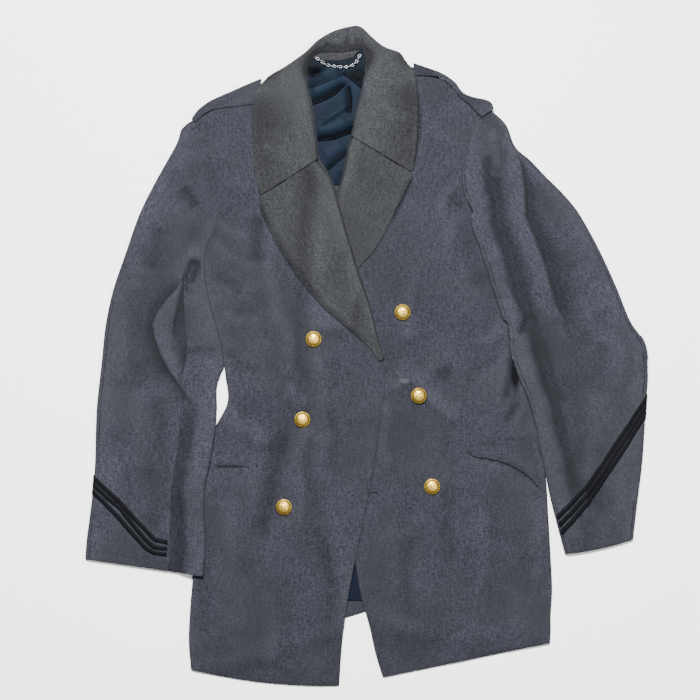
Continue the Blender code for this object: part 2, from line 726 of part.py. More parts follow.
def braid_grid(sleeve, rows, column):
    """Outer face of a flat braid, made from the sleeve's points moved out."""
    end = rows[-1][0]
    shares = sorted({row[0] for row in rows} | {share for share in sleeve.top_shares if share > end})
    heights = read_line(shares, rows, 0, column)
    middles = np.array([sleeve.point(share, height) for share, height in zip(shares, heights)])
    runs = np.gradient(middles, axis=0)
    reach = SEAM_GAP + BRAID_THICK
    grid = []
    for share, height, run in zip(shares, heights, runs):
        half = 0.5 * BRAID_WIDTH * min(np.hypot(run[0], run[1]) / max(abs(run[0]), 0.1), 1.8)
        upper, lower = sleeve.point(share, height + half), sleeve.point(share, height - half)
        step = 0.25 / USUAL_WIDTH * (1 if share > 0.9 else 20)
        inner = sleeve.point(max(share - step, 0.0), height)
        outer = sleeve.point(min(share + step, 1.0), height)
        normal = np.cross(outer - inner, upper - lower)
        normal *= np.sign(normal[2] + 1e-9) / np.linalg.norm(normal)
        grid.append([upper + normal * reach, lower + normal * reach])
    return np.array(grid)


def up_facing(grid):
    """1 or -1: the order of a face's corners that turns the grid's highest face up."""
    row, column = divmod(int(np.argmax(grid[:-1, :-1, 2] + grid[1:, 1:, 2])), grid.shape[1] - 1)
    corner = grid[row, column]
    across = grid[row, column + 1] - corner
    down = grid[row + 1, column] - corner
    return 1 if np.cross(across, down)[2] > 0 else -1


def add_object(name, mesh, finish):
    """Links a mesh as a named object with its own material."""
    colour, roughness, metallic = FINISHES[finish]
    material = bpy.data.materials.new(name)
    material.use_nodes = True
    shader = material.node_tree.nodes["Principled BSDF"]
    shader.inputs["Base Color"].default_value = colour
    shader.inputs["Roughness"].default_value = roughness
    shader.inputs["Metallic"].default_value = metallic
    mesh.materials.append(material)
    item = bpy.data.objects.new(name, mesh)
    bpy.context.collection.objects.link(item)
    return item


def add_cloth(name, grid, finish, wall=CLOTH, facing=0):
    """A wall of cloth whose outer face is the grid, with the wall behind it."""
    rows, columns = grid.shape[:2]
    facing = facing or up_facing(grid)
    shell = bmesh.new()
    points = [shell.verts.new(point * MM) for point in grid.reshape(-1, 3)]
    for row in range(rows - 1):
        for column in range(columns - 1):
            first = row * columns + column
            corners = [first, first + 1, first + columns + 1, first + columns]
            shell.faces.new([points[index] for index in corners[::facing]])
    mesh = bpy.data.meshes.new(name)
    shell.to_mesh(mesh)
    shell.free()
    mesh.shade_smooth()
    mesh.set_sharp_from_angle(angle=0.9)
    item = add_object(name, mesh, finish)
    wall_maker = item.modifiers.new("wall", "SOLIDIFY")
    wall_maker.thickness = wall * MM
    wall_maker.offset = -1.0
    return item


def add_button(name, x, y, ground):
    """A domed button with a raised rim, turned about its own axis."""
    radius = BUTTON_DIAMETER / 2
    dome = 0.88 * radius
    rise = BUTTON_HEIGHT - BUTTON_RIM_HEIGHT
    profile = [(0.0, 0.0), (0.82 * radius, 0.0), (radius, 1.4), (radius, 2.6), (dome, BUTTON_RIM_HEIGHT)]
    for step in (0.55, 0.25):
        profile.append((dome * sin(step * pi / 2), BUTTON_RIM_HEIGHT + rise * cos(step * pi / 2)))
    profile.append((0.0, BUTTON_HEIGHT))
    solid = bmesh.new()
    points = [solid.verts.new((px * MM, 0.0, pz * MM)) for px, pz in profile]
    edges = [solid.edges.new(pair) for pair in zip(points, points[1:])]
    outline = points + edges
    bmesh.ops.spin(solid, geom=outline, axis=(0, 0, 1), cent=(0, 0, 0), steps=BUTTON_SIDES, angle=2 * pi)
    bmesh.ops.remove_doubles(solid, verts=solid.verts, dist=0.00001)
    bmesh.ops.recalc_face_normals(solid, faces=solid.faces)
    mesh = bpy.data.meshes.new(name)
    solid.to_mesh(mesh)
    solid.free()
    mesh.shade_smooth()
    mesh.set_sharp_from_angle(angle=0.7)
    item = add_object(name, mesh, "gilt")
    item.location = (x * MM, y * MM, ground * MM)


def add_chain():
    """The hanger chain as a tube on its route."""
    curve = bpy.data.curves.new("hanger_chain", "CURVE")
    curve.dimensions = "3D"
    curve.bevel_depth = CHAIN_DIAMETER / 2 * MM
    curve.bevel_resolution = 2
    curve.use_fill_caps = True
    route = refine(CHAIN_ROUTE, 3)
    spline = curve.splines.new("POLY")
    spline.points.add(len(route) - 1)
    for point, place in zip(spline.points, route):
        point.co = (*(place * MM), 1.0)
    add_object("hanger_chain", curve, "steel")


def add_bar():
    """The worked bar of the buttonhole, a small flat box with soft edges."""
    x, y = BAR_MIDDLE
    ground = left_front_top(np.array([x]), np.array([y]))[0]
    solid = bmesh.new()
    bmesh.ops.create_cube(solid, size=1.0)
    bmesh.ops.scale(solid, vec=[side * MM for side in BAR_SIZE], verts=solid.verts)
    bmesh.ops.bevel(solid, geom=solid.edges[:], offset=0.4 * MM, segments=1, affect="EDGES")
    mesh = bpy.data.meshes.new("buttonhole_bar")
    solid.to_mesh(mesh)
    solid.free()
    item = add_object("buttonhole_bar", mesh, "braid")
    item.location = (x * MM, y * MM, (ground + SEAM_GAP + BAR_SIZE[2] / 2) * MM)


def clear_scene():
    for item in list(bpy.data.objects):
        bpy.data.objects.remove(item, do_unlink=True)


def build_body(right, left):
    """The backs, fronts and the lining that shows."""
    across = np.linspace(0, 1, 9)
    add_cloth("back_right", back_grid(FRONT_RIGHT, BACK_TOP_RIGHT, across), "wool")
    add_cloth("back_left", back_grid(FRONT_LEFT, BACK_TOP_LEFT, across), "wool")
    add_cloth("front_right", right, "wool")
    add_cloth("front_left", left, "wool")
    neck = lining_grid(NECK_LINING, np.linspace(0, 1, 8), FOLDS_NECK)
    add_cloth("neck_lining", neck, "lining", LINING)
    add_cloth("hem_lining", lining_grid(HEM_LINING, np.linspace(0, 1, 4), ()), "lining", LINING)


def build_collar(right_ground, left_ground):
    """The collar, its band and the lapels."""
    add_cloth("collar", collar_grid(), "collar_wool")
    add_cloth("neck_band", band_grid(), "collar_wool", POCKET_CLOTH)
    right = lapel_grid(LAPEL_RIGHT, LAPEL_SHARES, right_ground, -100)
    left = lapel_grid(LAPEL_LEFT, LAPEL_SHARES, left_ground, 225)
    add_cloth("lapel_right", right, "collar_wool")
    add_cloth("lapel_left", left, "collar_wool")


def build_sleeves():
    """Both sleeves, each in two pieces, with their braids."""
    for side, rows, folds, seam, braid in (
        ("right", SLEEVE_RIGHT, FOLDS_SLEEVE_RIGHT, SEAM_RIGHT, BRAID_RIGHT),
        ("left", SLEEVE_LEFT, FOLDS_SLEEVE_LEFT, SEAM_LEFT, BRAID_LEFT),
    ):
        sleeve = Sleeve(rows, folds)
        top = sleeve.grid(sleeve_places(seam[0], seam[1]))
        under = sleeve.grid(sleeve_places(seam[1], seam[0] + 2))
        add_cloth(f"sleeve_{side}_top", top, "wool")
        add_cloth(f"sleeve_{side}_under", under, "wool", facing=up_facing(top))
        for number in (1, 2, 3):
            add_cloth(f"braid_{side}_{number}", braid_grid(sleeve, braid, number), "braid", BRAID_THICK)


def build_trim(right_ground, left_ground):
    """Straps, pockets, buttons, the chain and the buttonhole bar."""
    shares = np.array((0.0, 0.35, 0.7, 1.0))
    add_cloth("strap_right", strap_grid(STRAP_RIGHT, shares, right_ground), "wool", STRAP_CLOTH)
    add_cloth("strap_left", strap_grid(STRAP_LEFT, shares, left_ground), "wool", STRAP_CLOTH)
    add_cloth("pocket_flap", pocket_grid(POCKET_FLAP, shares, left_ground, 1.6), "wool", POCKET_CLOTH)
    add_cloth("pocket_welt", pocket_grid(POCKET_WELT, shares, right_ground, 0.6), "wool", POCKET_CLOTH)
    around = np.linspace(0, 2 * pi, 13)
    for name, x, y in BUTTONS:
        ground = right_ground if "right" in name else left_ground
        ring = ground(x + 10 * np.cos(around), y + 10 * np.sin(around))
        add_button(name, x, y, ring.max() + SEAM_GAP)
    add_chain()
    add_bar()


def main():
    clear_scene()
    right = front_grid(FRONT_RIGHT, PANEL_SHARES, right_front_top)
    left = front_grid(FRONT_LEFT, PANEL_SHARES, left_front_top)
    right_ground, left_ground = Surface(right), Surface(left)
    build_body(right, left)
    build_collar(right_ground, left_ground)
    build_sleeves()
    build_trim(right_ground, left_ground)


main()
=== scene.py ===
# %% [markdown]
# # A grey cadet coat, laid flat
#
# The object is a double-breasted wool coat that lies on its back on a pale floor,
# seen from straight above. The frame holds 32 CAD solids of it: two fronts over
# two backs, a collar with its band, two lapels, two-piece sleeves, straps, pocket
# pieces, braid, buttons, a chain and a buttonhole bar.
#
# Three ways to make such a coat were open. A cloth simulation would need the cut
# patterns and would not land its folds where the photo has them. Sculpting by
# displacement alone would lose the clean edges of the panels. So each panel is a
# grid of points between two named edges, read on a smooth curve through a short
# table in millimetres, and its folds are ridges and troughs listed one by one.

# %% Load the imported frame
from math import cos, pi, sin

import bmesh
import bpy
import numpy as np
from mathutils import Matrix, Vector, noise
from mathutils.bvhtree import BVHTree


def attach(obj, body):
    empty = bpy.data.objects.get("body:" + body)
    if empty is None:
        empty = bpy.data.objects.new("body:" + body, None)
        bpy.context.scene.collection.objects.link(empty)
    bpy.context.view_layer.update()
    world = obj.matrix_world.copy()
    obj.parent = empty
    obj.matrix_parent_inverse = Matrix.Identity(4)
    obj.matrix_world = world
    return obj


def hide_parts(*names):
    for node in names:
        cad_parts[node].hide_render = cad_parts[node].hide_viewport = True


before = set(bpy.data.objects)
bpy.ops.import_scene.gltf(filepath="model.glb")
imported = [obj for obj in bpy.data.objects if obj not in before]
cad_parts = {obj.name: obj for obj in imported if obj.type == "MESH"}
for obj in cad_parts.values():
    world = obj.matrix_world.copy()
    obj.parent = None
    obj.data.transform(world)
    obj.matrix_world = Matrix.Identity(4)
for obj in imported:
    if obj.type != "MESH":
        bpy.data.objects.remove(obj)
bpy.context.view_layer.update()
BODY = "root"
print("nodes in the frame:", len(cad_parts))

# %% [markdown]
# ## Camera, floor and light
#
# The photo looks straight down, so the camera hangs above the middle of the
# picture and looks along -Z. It is far away with a long lens, which keeps the
# raised collar at its true scale. The light is one soft panel above the collar end:
# steep folds are dark in the photo on whichever side they face, and the skirts are
# dimmer than the chest. A weak panel keeps the far sides of folds from going black.

# %% Camera, floor and light
MM = 0.001
PICTURE_WIDTH = 0.994
PICTURE_MIDDLE = (-0.0234, 0.0085)
CAMERA_HEIGHT = 4.0
SENSOR = 36.0
FLOOR_HALF = 3.0
FLOOR_DROP = 0.0004


def add_camera():
    data = bpy.data.cameras.new("photo_camera")
    data.type = "PERSP"
    data.sensor_width = SENSOR
    data.lens = SENSOR * CAMERA_HEIGHT / PICTURE_WIDTH
    camera = bpy.data.objects.new("photo_camera", data)
    camera.location = (*PICTURE_MIDDLE, CAMERA_HEIGHT)
    bpy.context.collection.objects.link(camera)
    bpy.context.scene.camera = camera


def add_area(name, place, target, size, power, colour=(1.0, 1.0, 1.0)):
    data = bpy.data.lights.new(name, "AREA")
    data.shape = "RECTANGLE"
    data.size, data.size_y = size
    data.energy = power
    data.color = colour
    light = bpy.data.objects.new(name, data)
    light.location = place
    light.rotation_euler = (Vector(target) - Vector(place)).to_track_quat("-Z", "Y").to_euler()
    bpy.context.collection.objects.link(light)


def add_floor():
    half = FLOOR_HALF
    mesh = bpy.data.meshes.new("floor")
    corners = [(-half, -half, 0), (half, -half, 0), (half, half, 0), (-half, half, 0)]
    mesh.from_pydata(corners, [], [(0, 1, 2, 3)])
    material = bpy.data.materials.new("floor")
    material.use_nodes = True
    shader = material.node_tree.nodes["Principled BSDF"]
    shader.inputs["Base Color"].default_value = (0.86, 0.86, 0.86, 1.0)
    shader.inputs["Roughness"].default_value = 0.9
    mesh.materials.append(material)
    floor = bpy.data.objects.new("floor", mesh)
    floor.location.z = -FLOOR_DROP
    bpy.context.collection.objects.link(floor)


def add_world():
    world = bpy.data.worlds.new("studio")
    world.use_nodes = True
    background = world.node_tree.nodes["Background"]
    background.inputs["Color"].default_value = (0.95, 0.97, 1.0, 1.0)
    background.inputs["Strength"].default_value = 0.18
    bpy.context.scene.world = world


add_camera()
add_floor()
add_world()
add_area("key", (-0.2, 0.95, 2.6), (0, 0, 0), (0.5, 0.5), 350)
add_area("fill", (0.9, -0.5, 2.6), (0, 0, 0), (0.9, 0.9), 45)
print("camera lens:", round(bpy.context.scene.camera.data.lens, 1), "mm")

# %% [markdown]
# ## The cut, as tables
#
# Each table follows one piece of the coat with a row every few centimetres. They
# are the same tables as the CAD solids have, so every dressed piece lies on its
# solid. Sizes are millimetres, X runs to the wearer's left and Y to the collar.

# %% The cut, as tables
CLOTH = 2.4
LINING = 1.2
STRAP_CLOTH = 2.0
POCKET_CLOTH = 1.8
BRAID_THICK = 1.0
BRAID_WIDTH = 5.3
SEAM_GAP = 0.3
LAYER_GAP = 0.4
BUTTON_DIAMETER = 23.0
BUTTON_HEIGHT = 7.0
FRONT_TOP = 2 * CLOTH + LAYER_GAP
LAYER = CLOTH + LAYER_GAP
FULLNESS = 1.4
SOFT_GAP = 0.5
SIDE_INSET = 2.1
BACK_INSET = 4.8
BACK_TOP_Y = 429.0
SHOULDER_TURN = 0.15
ROLL_INSET = 3.5
BAND_HEIGHT = 11.0
BAND_TOPS = (6.6, 6.4, 6.2)
SEAM_HALF_GAP = 1.9 * SEAM_GAP
SLEEVE_CROWN = 0.6
BAR_MIDDLE = (9.5, -193.5)

# Rows for each interval of a table, and shares across the panels.
STEPS = 1
PANEL_SHARES = np.array((0, 0.03, 0.1, 0.19, 0.28, 0.37, 0.46, 0.55, 0.64, 0.73, 0.82, 0.91, 1.0))
LAPEL_SHARES = np.array((0.0, 0.08, 0.2, 0.36, 0.52, 0.68, 0.84, 1.0))

# Right front, from the shoulder to the hem. Columns: side x, side y, edge x,
# edge y, bow of the row, share of the side that turns down, edge inset.
FRONT_RIGHT = (
    (-246, 331, -84, 411, 2, 0.0, 5),
    (-233, 305, -84, 380, 1, 0.0, 5),
    (-222, 275, -77, 345, 0, 0.0, 5),
    (-216, 246, -72, 305, 0, 0.0, 4),
    (-213, 217, -69, 276, 0, 0.0, 4),
    (-212, 197, -48, 246, 0, 0.0, 4),
    (-219, 176, -36, 206, 0, 0.0, 4),
    (-228, 155, -27, 172, 0, 0.0, 4),
    (-231, 130, -13, 124, 0, 0.6, 4),
    (-229, 100, -1, 86, 0, 1.0, 4),
    (-222, 70, 9, 54, 0, 1.0, 4),
    (-214, 42, 16, 26, 0, 1.0, 4),
    (-206, 8, 24, -2, 0, 1.0, 4),
    (-201, -28, 26, -26, 0, 1.0, 0),
    (-198, -66, 22, -64, 0, 1.0, 0),
    (-218, -107, 17, -108, 0, 1.0, 0),
    (-228, -150, 10, -150, 0, 1.0, 0),
    (-236, -203, 1, -203, 0, 1.0, 0),
    (-242, -260, -11, -260, 0, 1.0, 0),
    (-247, -312, -22, -314, 0, 1.0, 0),
    (-251, -358, -30, -360, 0, 1.0, 0),
    (-253, -404, -36, -410, -3, 1.0, 0),
    (-250, -444, -40, -467, -7, 1.0, 0),
)

# Left front, the under one, with the same columns.
FRONT_LEFT = (
    (160, 339, -2, 416, -19, 0.0, 6),
    (149, 313, -5, 385, -6, 0.0, 5),
    (141, 284, -13, 352, 0, 0.0, 5),
    (136, 246, -21, 314, 0, 0.0, 4),
    (146, 214, -30, 275, 0, 1.0, 4),
    (164, 186, -36, 249, 0, 1.0, 4),
    (180, 158, -42, 222, 0, 1.0, 4),
    (190, 122, -46, 180, 0, 1.0, 4),
    (197, 82, -49, 125, 0, 1.0, 4),
    (202, 45, -51, 70, 0, 1.0, 4),
    (206, 5, -52, 10, 0, 1.0, 0),
    (217, -30, -51, -40, 0, 1.0, 0),
    (230, -60, -49, -80, 0, 1.0, 0),
    (238, -88, -47, -108, 0, 1.0, 0),
    (246, -114, -43, -140, 0, 1.0, 0),
    (252, -144, -37, -176, 0, 1.0, 0),
    (256, -182, -31, -215, 0, 1.0, 0),
    (259, -232, -24, -255, 0, 1.0, 0),
    (262, -285, -15, -292, 0, 1.0, 0),
    (264, -330, -8, -334, 0, 1.0, 0),
    (262, -368, 5, -382, 0, 1.0, 0),
    (262, -388, 14, -422, 0, 1.0, 0),
    (261, -406, 24, -455, 0, 1.0, 0),
)

# Sleeves, from the armhole to the cuff. Columns: inner x, inner y, outer x,
# outer y, bow of the row, height the inner edge is lifted, thickness.
SLEEVE_RIGHT = (
    (-216, 186, -250, 334, -12, 0, 6.8),
    (-224, 167, -263, 321, -8, 0, 7.2),
    (-231, 150, -270, 300, -6, 0, 7.5),
    (-232, 122, -300, 246, -3, 0, 8),
    (-230.5, 96, -323, 199, -2, 0, 8),
    (-223, 68, -342, 145, 0, 0, 8),
    (-214, 36, -359, 95, 0, 0, 8),
    (-204, -10, -370, 45, 0, 0, 8),
    (-212, -44, -376, -11, 0, 0, 8),
    (-212, -74, -382, -65, 0, 3.5, 8),
    (-214, -105, -384, -105, 0, 9, 8),
    (-221, -148, -385, -148, 0, 9.5, 8),
    (-229, -190, -388, -189, 0, 9.5, 8),
    (-229, -233, -393, -230, 0, 9.5, 8),
    (-228, -272, -397, -260, 0, 9.5, 8),
    (-231, -311, -399, -287, 0, 9.5, 8),
)
SLEEVE_LEFT = (
    (161.5, 342, 178, 348, 0, 0, 7),
    (150.5, 314, 198, 328, 0, 1, 8),
    (142.5, 286, 211, 297, 0, 3, 8.5),
    (138, 250, 233, 277, 0, 6, 8.5),
    (143, 226, 254, 255, 0, 9.5, 8),
    (146, 203, 279, 230, 0, 9.8, 8),
    (150, 178, 301, 203, 0, 9.8, 8),
    (161, 150, 329, 153, 0, 9.8, 8),
    (177, 100, 354, 99, 0, 9.8, 8),
    (194, 48, 374, 50, 0, 9.8, 8),
    (205, 8, 395, 17, 0, 9.8, 8),
    (216, -26, 399, -25, 0, 9.8, 8),
    (227, -60, 397, -57, 0, 9.8, 8),
    (234, -91, 395, -91, 0, 9.8, 8),
    (249, -148, 391, -150, 0, 9.8, 8),
    (261, -205, 384, -207, 0, 8, 8),
    (281, -280, 378, -259, -3, 2, 8),
)

# Places round a sleeve, starting at its inner edge: 0 to 1 crosses the top from
# the inner to the outer edge and 1 to 2 comes back underneath. The two seams of
# each sleeve lie at these places, and ROUND_EDGE is in millimetres from an edge.
ROUND_EDGE = (-5.0, -1.2, 0.0, 1.2, 5.0)
SEAM_RIGHT = (0.30, 1.78)
SEAM_LEFT = (-0.15, 1.25)
TOP_PARTS = 10
UNDER_PARTS = 5
USUAL_WIDTH = 150.0
LEAST_SPREAD = 110.0

# Lapels, from the gorge to the break. Columns: roll x, roll y, outer x, outer y.
LAPEL_RIGHT = (
    (-70, 276, -150, 225),
    (-59, 264, -150, 213),
    (-48, 246, -144, 194),
    (-42, 226, -136, 179),
    (-34, 199, -122, 152),
    (-27, 172, -106, 127),
    (-19, 147, -91, 105),
    (-12, 122, -72, 82),
    (-5, 102, -53, 63),
    (2, 82, -34, 47),
    (10, 54, -13, 29),
    (17, 24, 5, 12),
    (25, -4, 18, -7),
)
LAPEL_LEFT = (
    (-22, 309, 62, 258),
    (-27, 295, 61, 248),
    (-30, 274, 53, 230),
    (-36, 249, 39, 202),
    (-42, 224, 22, 169),
    (-45, 190, 6, 145),
    (-47, 155, -13, 124),
    (-49, 115, -27, 92),
    (-50, 70, -39, 55),
)

# Collar, from the right gorge round the neck to the left one. Columns: stand x,
# stand y, edge x, edge y, stand height, crown height, edge height, and how far
# the fall has turned under, from 0 to 1.
COLLAR = (
    (-69, 280, -150, 229, 7, 16, 10.4, 0),
    (-71, 302, -157, 256, 7, 17, 10.2, 0),
    (-74, 327, -160, 290, 7, 18, 10.2, 0),
    (-77, 350, -161, 324, 7, 19, 10.6, 0),
    (-81, 369, -160, 352, 7, 20, 12.5, 0),
    (-84, 385, -155, 375, 7, 21, 14.0, 0),
    (-84, 400, -142, 396, 6.8, 21, 13.0, 0.25),
    (-81, 413, -114, 413, 6.6, 20, 11.0, 0.7),
    (-76, 424, -88, 430, 6.5, 18, 9.0, 1),
    (-67, 430, -70, 447, 6.5, 17, 8.0, 1),
    (-52, 431, -50, 459, 6.5, 16, 8.0, 1),
    (-35, 431, -28, 466, 6.5, 16, 8.0, 1),
    (-18, 434, -9, 467, 6.5, 16, 8.0, 1),
    (-9, 435, 8, 452, 6.5, 17, 8.0, 1),
    (-4, 430, 26, 438, 6.5, 18, 9.0, 1),
    (-2, 420, 50, 431, 6.6, 20, 11.0, 0.7),
    (-3, 406, 63, 416, 7, 21, 14.5, 0.25),
    (-5, 388, 68, 395, 7.5, 21, 14.5, 0),
    (-9, 368, 71, 368, 7.5, 20, 12.0, 0),
    (-15, 346, 72, 335, 7.5, 19, 10.4, 0),
    (-19, 326, 70, 300, 7.5, 17, 10.2, 0),
    (-22, 313, 64, 262, 7.5, 16, 10.4, 0),
)
FALL_UNDER = 26.0

# Shoulder straps, from the sleeve to the collar. Columns: outline x, outline y,
# lower x, lower y, height that the strap stands off the shoulder.
STRAP_RIGHT = (
    (-247, 336, -243, 331, 1.2),
    (-238, 348, -233, 341, 1.4),
    (-224, 359, -221, 348, 1.2),
    (-210, 366, -207, 352, 1.1),
    (-194, 373, -193, 353, 1.0),
    (-174, 382, -175, 356, 0.8),
    (-150, 392, -150, 358, 0.6),
)
STRAP_LEFT = (
    (179, 350, 163, 339, 5),
    (176, 358, 156, 345, 4),
    (167, 363, 149, 353, 3),
    (152, 366, 141, 360, 3),
    (138, 371, 133, 366, 5),
    (131, 378, 127, 374, 8),
    (125, 386, 121, 381, 9),
    (115, 394, 112, 389, 9),
    (103, 401, 101, 395, 7),
    (87, 407, 84, 397, 3),
    (67, 414, 65, 398, 2),
)

# Columns: upper x, upper y, lower x, lower y.
POCKET_FLAP = (
    (143, -129, 144, -134),
    (155, -127, 153, -141),
    (175, -125, 169, -144),
    (193, -122, 188, -148),
    (211, -117, 206, -155),
    (224, -114, 221, -164),
    (229, -113, 233, -173),
    (232, -114, 243, -184),
)
POCKET_WELT = (
    (-209, -136, -211, -156),
    (-200, -139, -201, -156),
    (-188, -143, -188, -156),
    (-177, -147, -177, -156),
    (-167, -152, -167, -156),
)

# Columns: left x, right x, y.
NECK_LINING = (
    (-68, -9, 431),
    (-77, -3, 422),
    (-82, -1, 411),
    (-84, -2, 398),
    (-83, -4, 384),
    (-79, -9, 367),
    (-75, -15, 348),
    (-72, -20, 325),
    (-69, -26, 302),
    (-67, -30, 283),
    (-58, -33, 268),
    (-51, -37, 254),
    (-46, -40, 243),
)
HEM_LINING = (
    (-36, 4, -278),
    (-38, 6, -302),
    (-42, 12, -326),
    (-46, 18, -347),
)

# The backs' shoulder lines from the sleeve to the neck, as x and y.
BACK_TOP_RIGHT = ((-241, 326), (-205, 348), (-160, 370), (-120, 388), (-90, 404), (-74, 424), (-41, 429))
BACK_TOP_LEFT = (
    (155, 337), (144, 351), (132, 364), (121, 378), (109, 390), (95, 401), (62, 411), (20, 420), (-41, 429),
)

# Back hem, as x and y, and the line of the centre back seam, as y and x.
BACK_HEM = ((-254, -440), (0, -362), (266, -404))
CENTRE_BACK = ((-470, 4), (-365, 0), (20, -14), (340, -36), (432, -41))

# The buttons' middles. Columns: name, x, y.
BUTTONS = (
    ("button_right_1", -75, 24),
    ("button_right_2", -91, -90),
    ("button_right_3", -117, -214),
    ("button_left_1", 51, 62),
    ("button_left_2", 74, -56),
    ("button_left_3", 93, -185),
)

# Braid, in the sleeve's own measure. Columns: share across the top from the
# inner edge, height above the cuff of the upper, middle and lower braid.
BRAID_RIGHT = (
    (1.00, 115, 106, 96),
    (0.88, 101, 92, 82),
    (0.75, 87, 79, 65),
    (0.60, 65, 54, 42),
    (0.50, 51, 38, 27),
    (0.43, 41, 30, 22),
    (0.32, 39, 30, 22),
)
BRAID_LEFT = (
    (1.00, 202, 190, 178),
    (0.85, 164, 152, 140),
    (0.72, 139, 127, 115),
    (0.60, 116, 104, 93),
    (0.43, 89, 78, 67),
    (0.20, 67, 56, 45),
    (0.02, 53, 42, 31),
)

# The hanger chain's route across the neck. Columns: x, y, z.
CHAIN_ROUTE = (
    (-69, 421, 8.2),
    (-57, 413, 7.6),
    (-41, 410, 6.6),
    (-25, 410, 6.6),
    (-15, 416, 7.8),
    (-10, 425, 8.3),
)

# The largest folds of each piece. Columns: height, width on the left of the
# line as it runs, width on its right, and the line's points.
FOLDS_FRONT_RIGHT = (
    (1.6, 14, 26, ((-195, -70), (-180, -98), (-160, -96), (-140, -128))),
    (-2.0, 16, 16, ((-112, -104), (-130, -150), (-141, -210), (-155, -262))),
    (1.4, 22, 22, ((-114, -41), (-80, -62))),
    (-1.8, 10, 12, ((-152, 200), (-154, 130))),
    (1.6, 26, 26, ((-190, -300), (-180, -440))),
    (1.2, 24, 24, ((-90, -330), (-80, -450))),
)
FOLDS_FRONT_LEFT = (
    (-1.5, 9, 12, ((100, -25), (119, -17))),
    (1.4, 14, 20, ((133, -87), (100, -60), (60, -20))),
    (1.8, 14, 22, ((125, -390), (147, -446))),
    (1.5, 22, 26, ((200, -250), (215, -400))),
    (-1.4, 14, 14, ((126, 235), (140, 160), (165, 90))),
    (-2.2, 9, 7, ((207, 4), (211, -26), (206, -64))),
)
FOLDS_SLEEVE_RIGHT = (
    (7.5, 26, 4, ((-265, 94), (-293, 65), (-302, 45), (-296, 18), (-285, -9), (-266, -41))),
    (-2.5, 9, 12, ((-260, 240), (-242, 210))),
    (2.0, 14, 18, ((-260, 296), (-276, 262))),
    (2.2, 22, 24, ((-339, 138), (-331, 110))),
    (2.0, 24, 26, ((-330, -40), (-325, -170))),
)
FOLDS_SLEEVE_LEFT = (
    (8.0, 4, 30, ((212, 290), (221, 240), (223, 195), (232, 175), (252, 121), (262, 82), (276, 50))),
    (2.4, 9, 9, ((182, 322), (182, 248))),
    (-2.0, 7, 7, ((172, 288), (173, 226))),
    (-1.8, 9, 12, ((212, 30), (237, 54))),
    (2.4, 30, 24, ((330, -40), (322, -190))),
    (2.0, 20, 24, ((300, 130), (335, 60))),
)

print("rows in the fronts:", len(FRONT_RIGHT), "and", len(FRONT_LEFT))

# %% [markdown]
# ## Reading the tables
#
# A table row is read on a smooth curve, a fold is a height that fades along a
# line and to its two sides, and each piece turns its rows into a grid of points.
# These are the rules that the CAD solids were made with, run here in finer steps.

# %% Reading the tables
def smooth(value):
    """An S curve from 0, where the value is 0 or less, to 1."""
    value = np.clip(value, 0.0, 1.0)
    return value * value * (3.0 - 2.0 * value)


def refine(rows, steps=STEPS):
    """Rows read on a smooth curve through a table, steps for each interval."""
    rows = np.asarray(rows, float)
    ends = np.vstack([2 * rows[0] - rows[1], rows, 2 * rows[-1] - rows[-2]])
    result = []
    for index in range(len(rows) - 1):
        a, b, c, d = ends[index:index + 4]
        for step in range(steps):
            t = step / steps
            curve = 2 * b + (c - a) * t + (2 * a - 5 * b + 4 * c - d) * t ** 2
            result.append(0.5 * (curve + (3 * b - a - 3 * c + d) * t ** 3))
    result.append(rows[-1])
    return np.array(result)


def read_line(value, line, key, result):
    """The result column of a table at a value of its key column."""
    order = sorted(line, key=lambda row: row[key])
    return np.interp(value, [row[key] for row in order], [row[result] for row in order])


def fold_height(x, y, folds):
    """Sum of the folds at a place: each is a soft ridge or trough along a line."""
    total = np.zeros_like(x)
    for height, left_width, right_width, points in folds:
        line = np.array(points, float)
        spans = np.diff(line, axis=0)
        lengths = np.hypot(spans[:, 0], spans[:, 1])
        starts = np.concatenate([[0.0], np.cumsum(lengths)[:-1]])
        nearest = np.full_like(x, 1e9)
        side = np.zeros_like(x)
        place = np.zeros_like(x)
        for start, span, length, run in zip(line, spans, lengths, starts):
            share = np.clip(((x - start[0]) * span[0] + (y - start[1]) * span[1]) / length ** 2, 0, 1)
            dx = x - start[0] - share * span[0]
            dy = y - start[1] - share * span[1]
            distance = np.hypot(dx, dy)
            closer = distance < nearest
            nearest = np.where(closer, distance, nearest)
            side = np.where(closer, span[0] * dy - span[1] * dx, side)
            place = np.where(closer, (run + share * length) / lengths.sum(), place)
        width = np.where(side > 0, left_width, right_width)
        fade = smooth(place / 0.2 + 0.25) * smooth((1 - place) / 0.2 + 0.25)
        total += height * fade * np.exp(-(nearest / width) ** 2)
    return total


def bump(x, y, middle, reach):
    """A soft round rise of 1 at its middle."""
    return np.exp(-((x - middle[0]) / reach[0]) ** 2 - ((y - middle[1]) / reach[1]) ** 2)


def past_back_hem(x, y):
    """1 where a front runs past the hem of the backs, where it lies lower."""
    return smooth((read_line(x, BACK_HEM, 0, 1) - 4 - y) / 30)


def softness(x, y, folds):
    """How far a front stands off the backs, from its fullness and folds."""
    side = np.sign(x.mean() + 20)
    rise = 1.8 * bump(x, y, (side * 115, 140), (60, 110)) + 1.2 * bump(x, y, (side * 135, -250), (70, 120))
    rise += 1.2 * bump(x, y, (-12, -312), (60, 80))
    return np.maximum(FULLNESS + rise + fold_height(x, y, folds), 0) - 2.4 * past_back_hem(x, y)


def left_front_top(x, y):
    """Height of the left front's outer face."""
    return FRONT_TOP + softness(x, y, FOLDS_FRONT_LEFT)


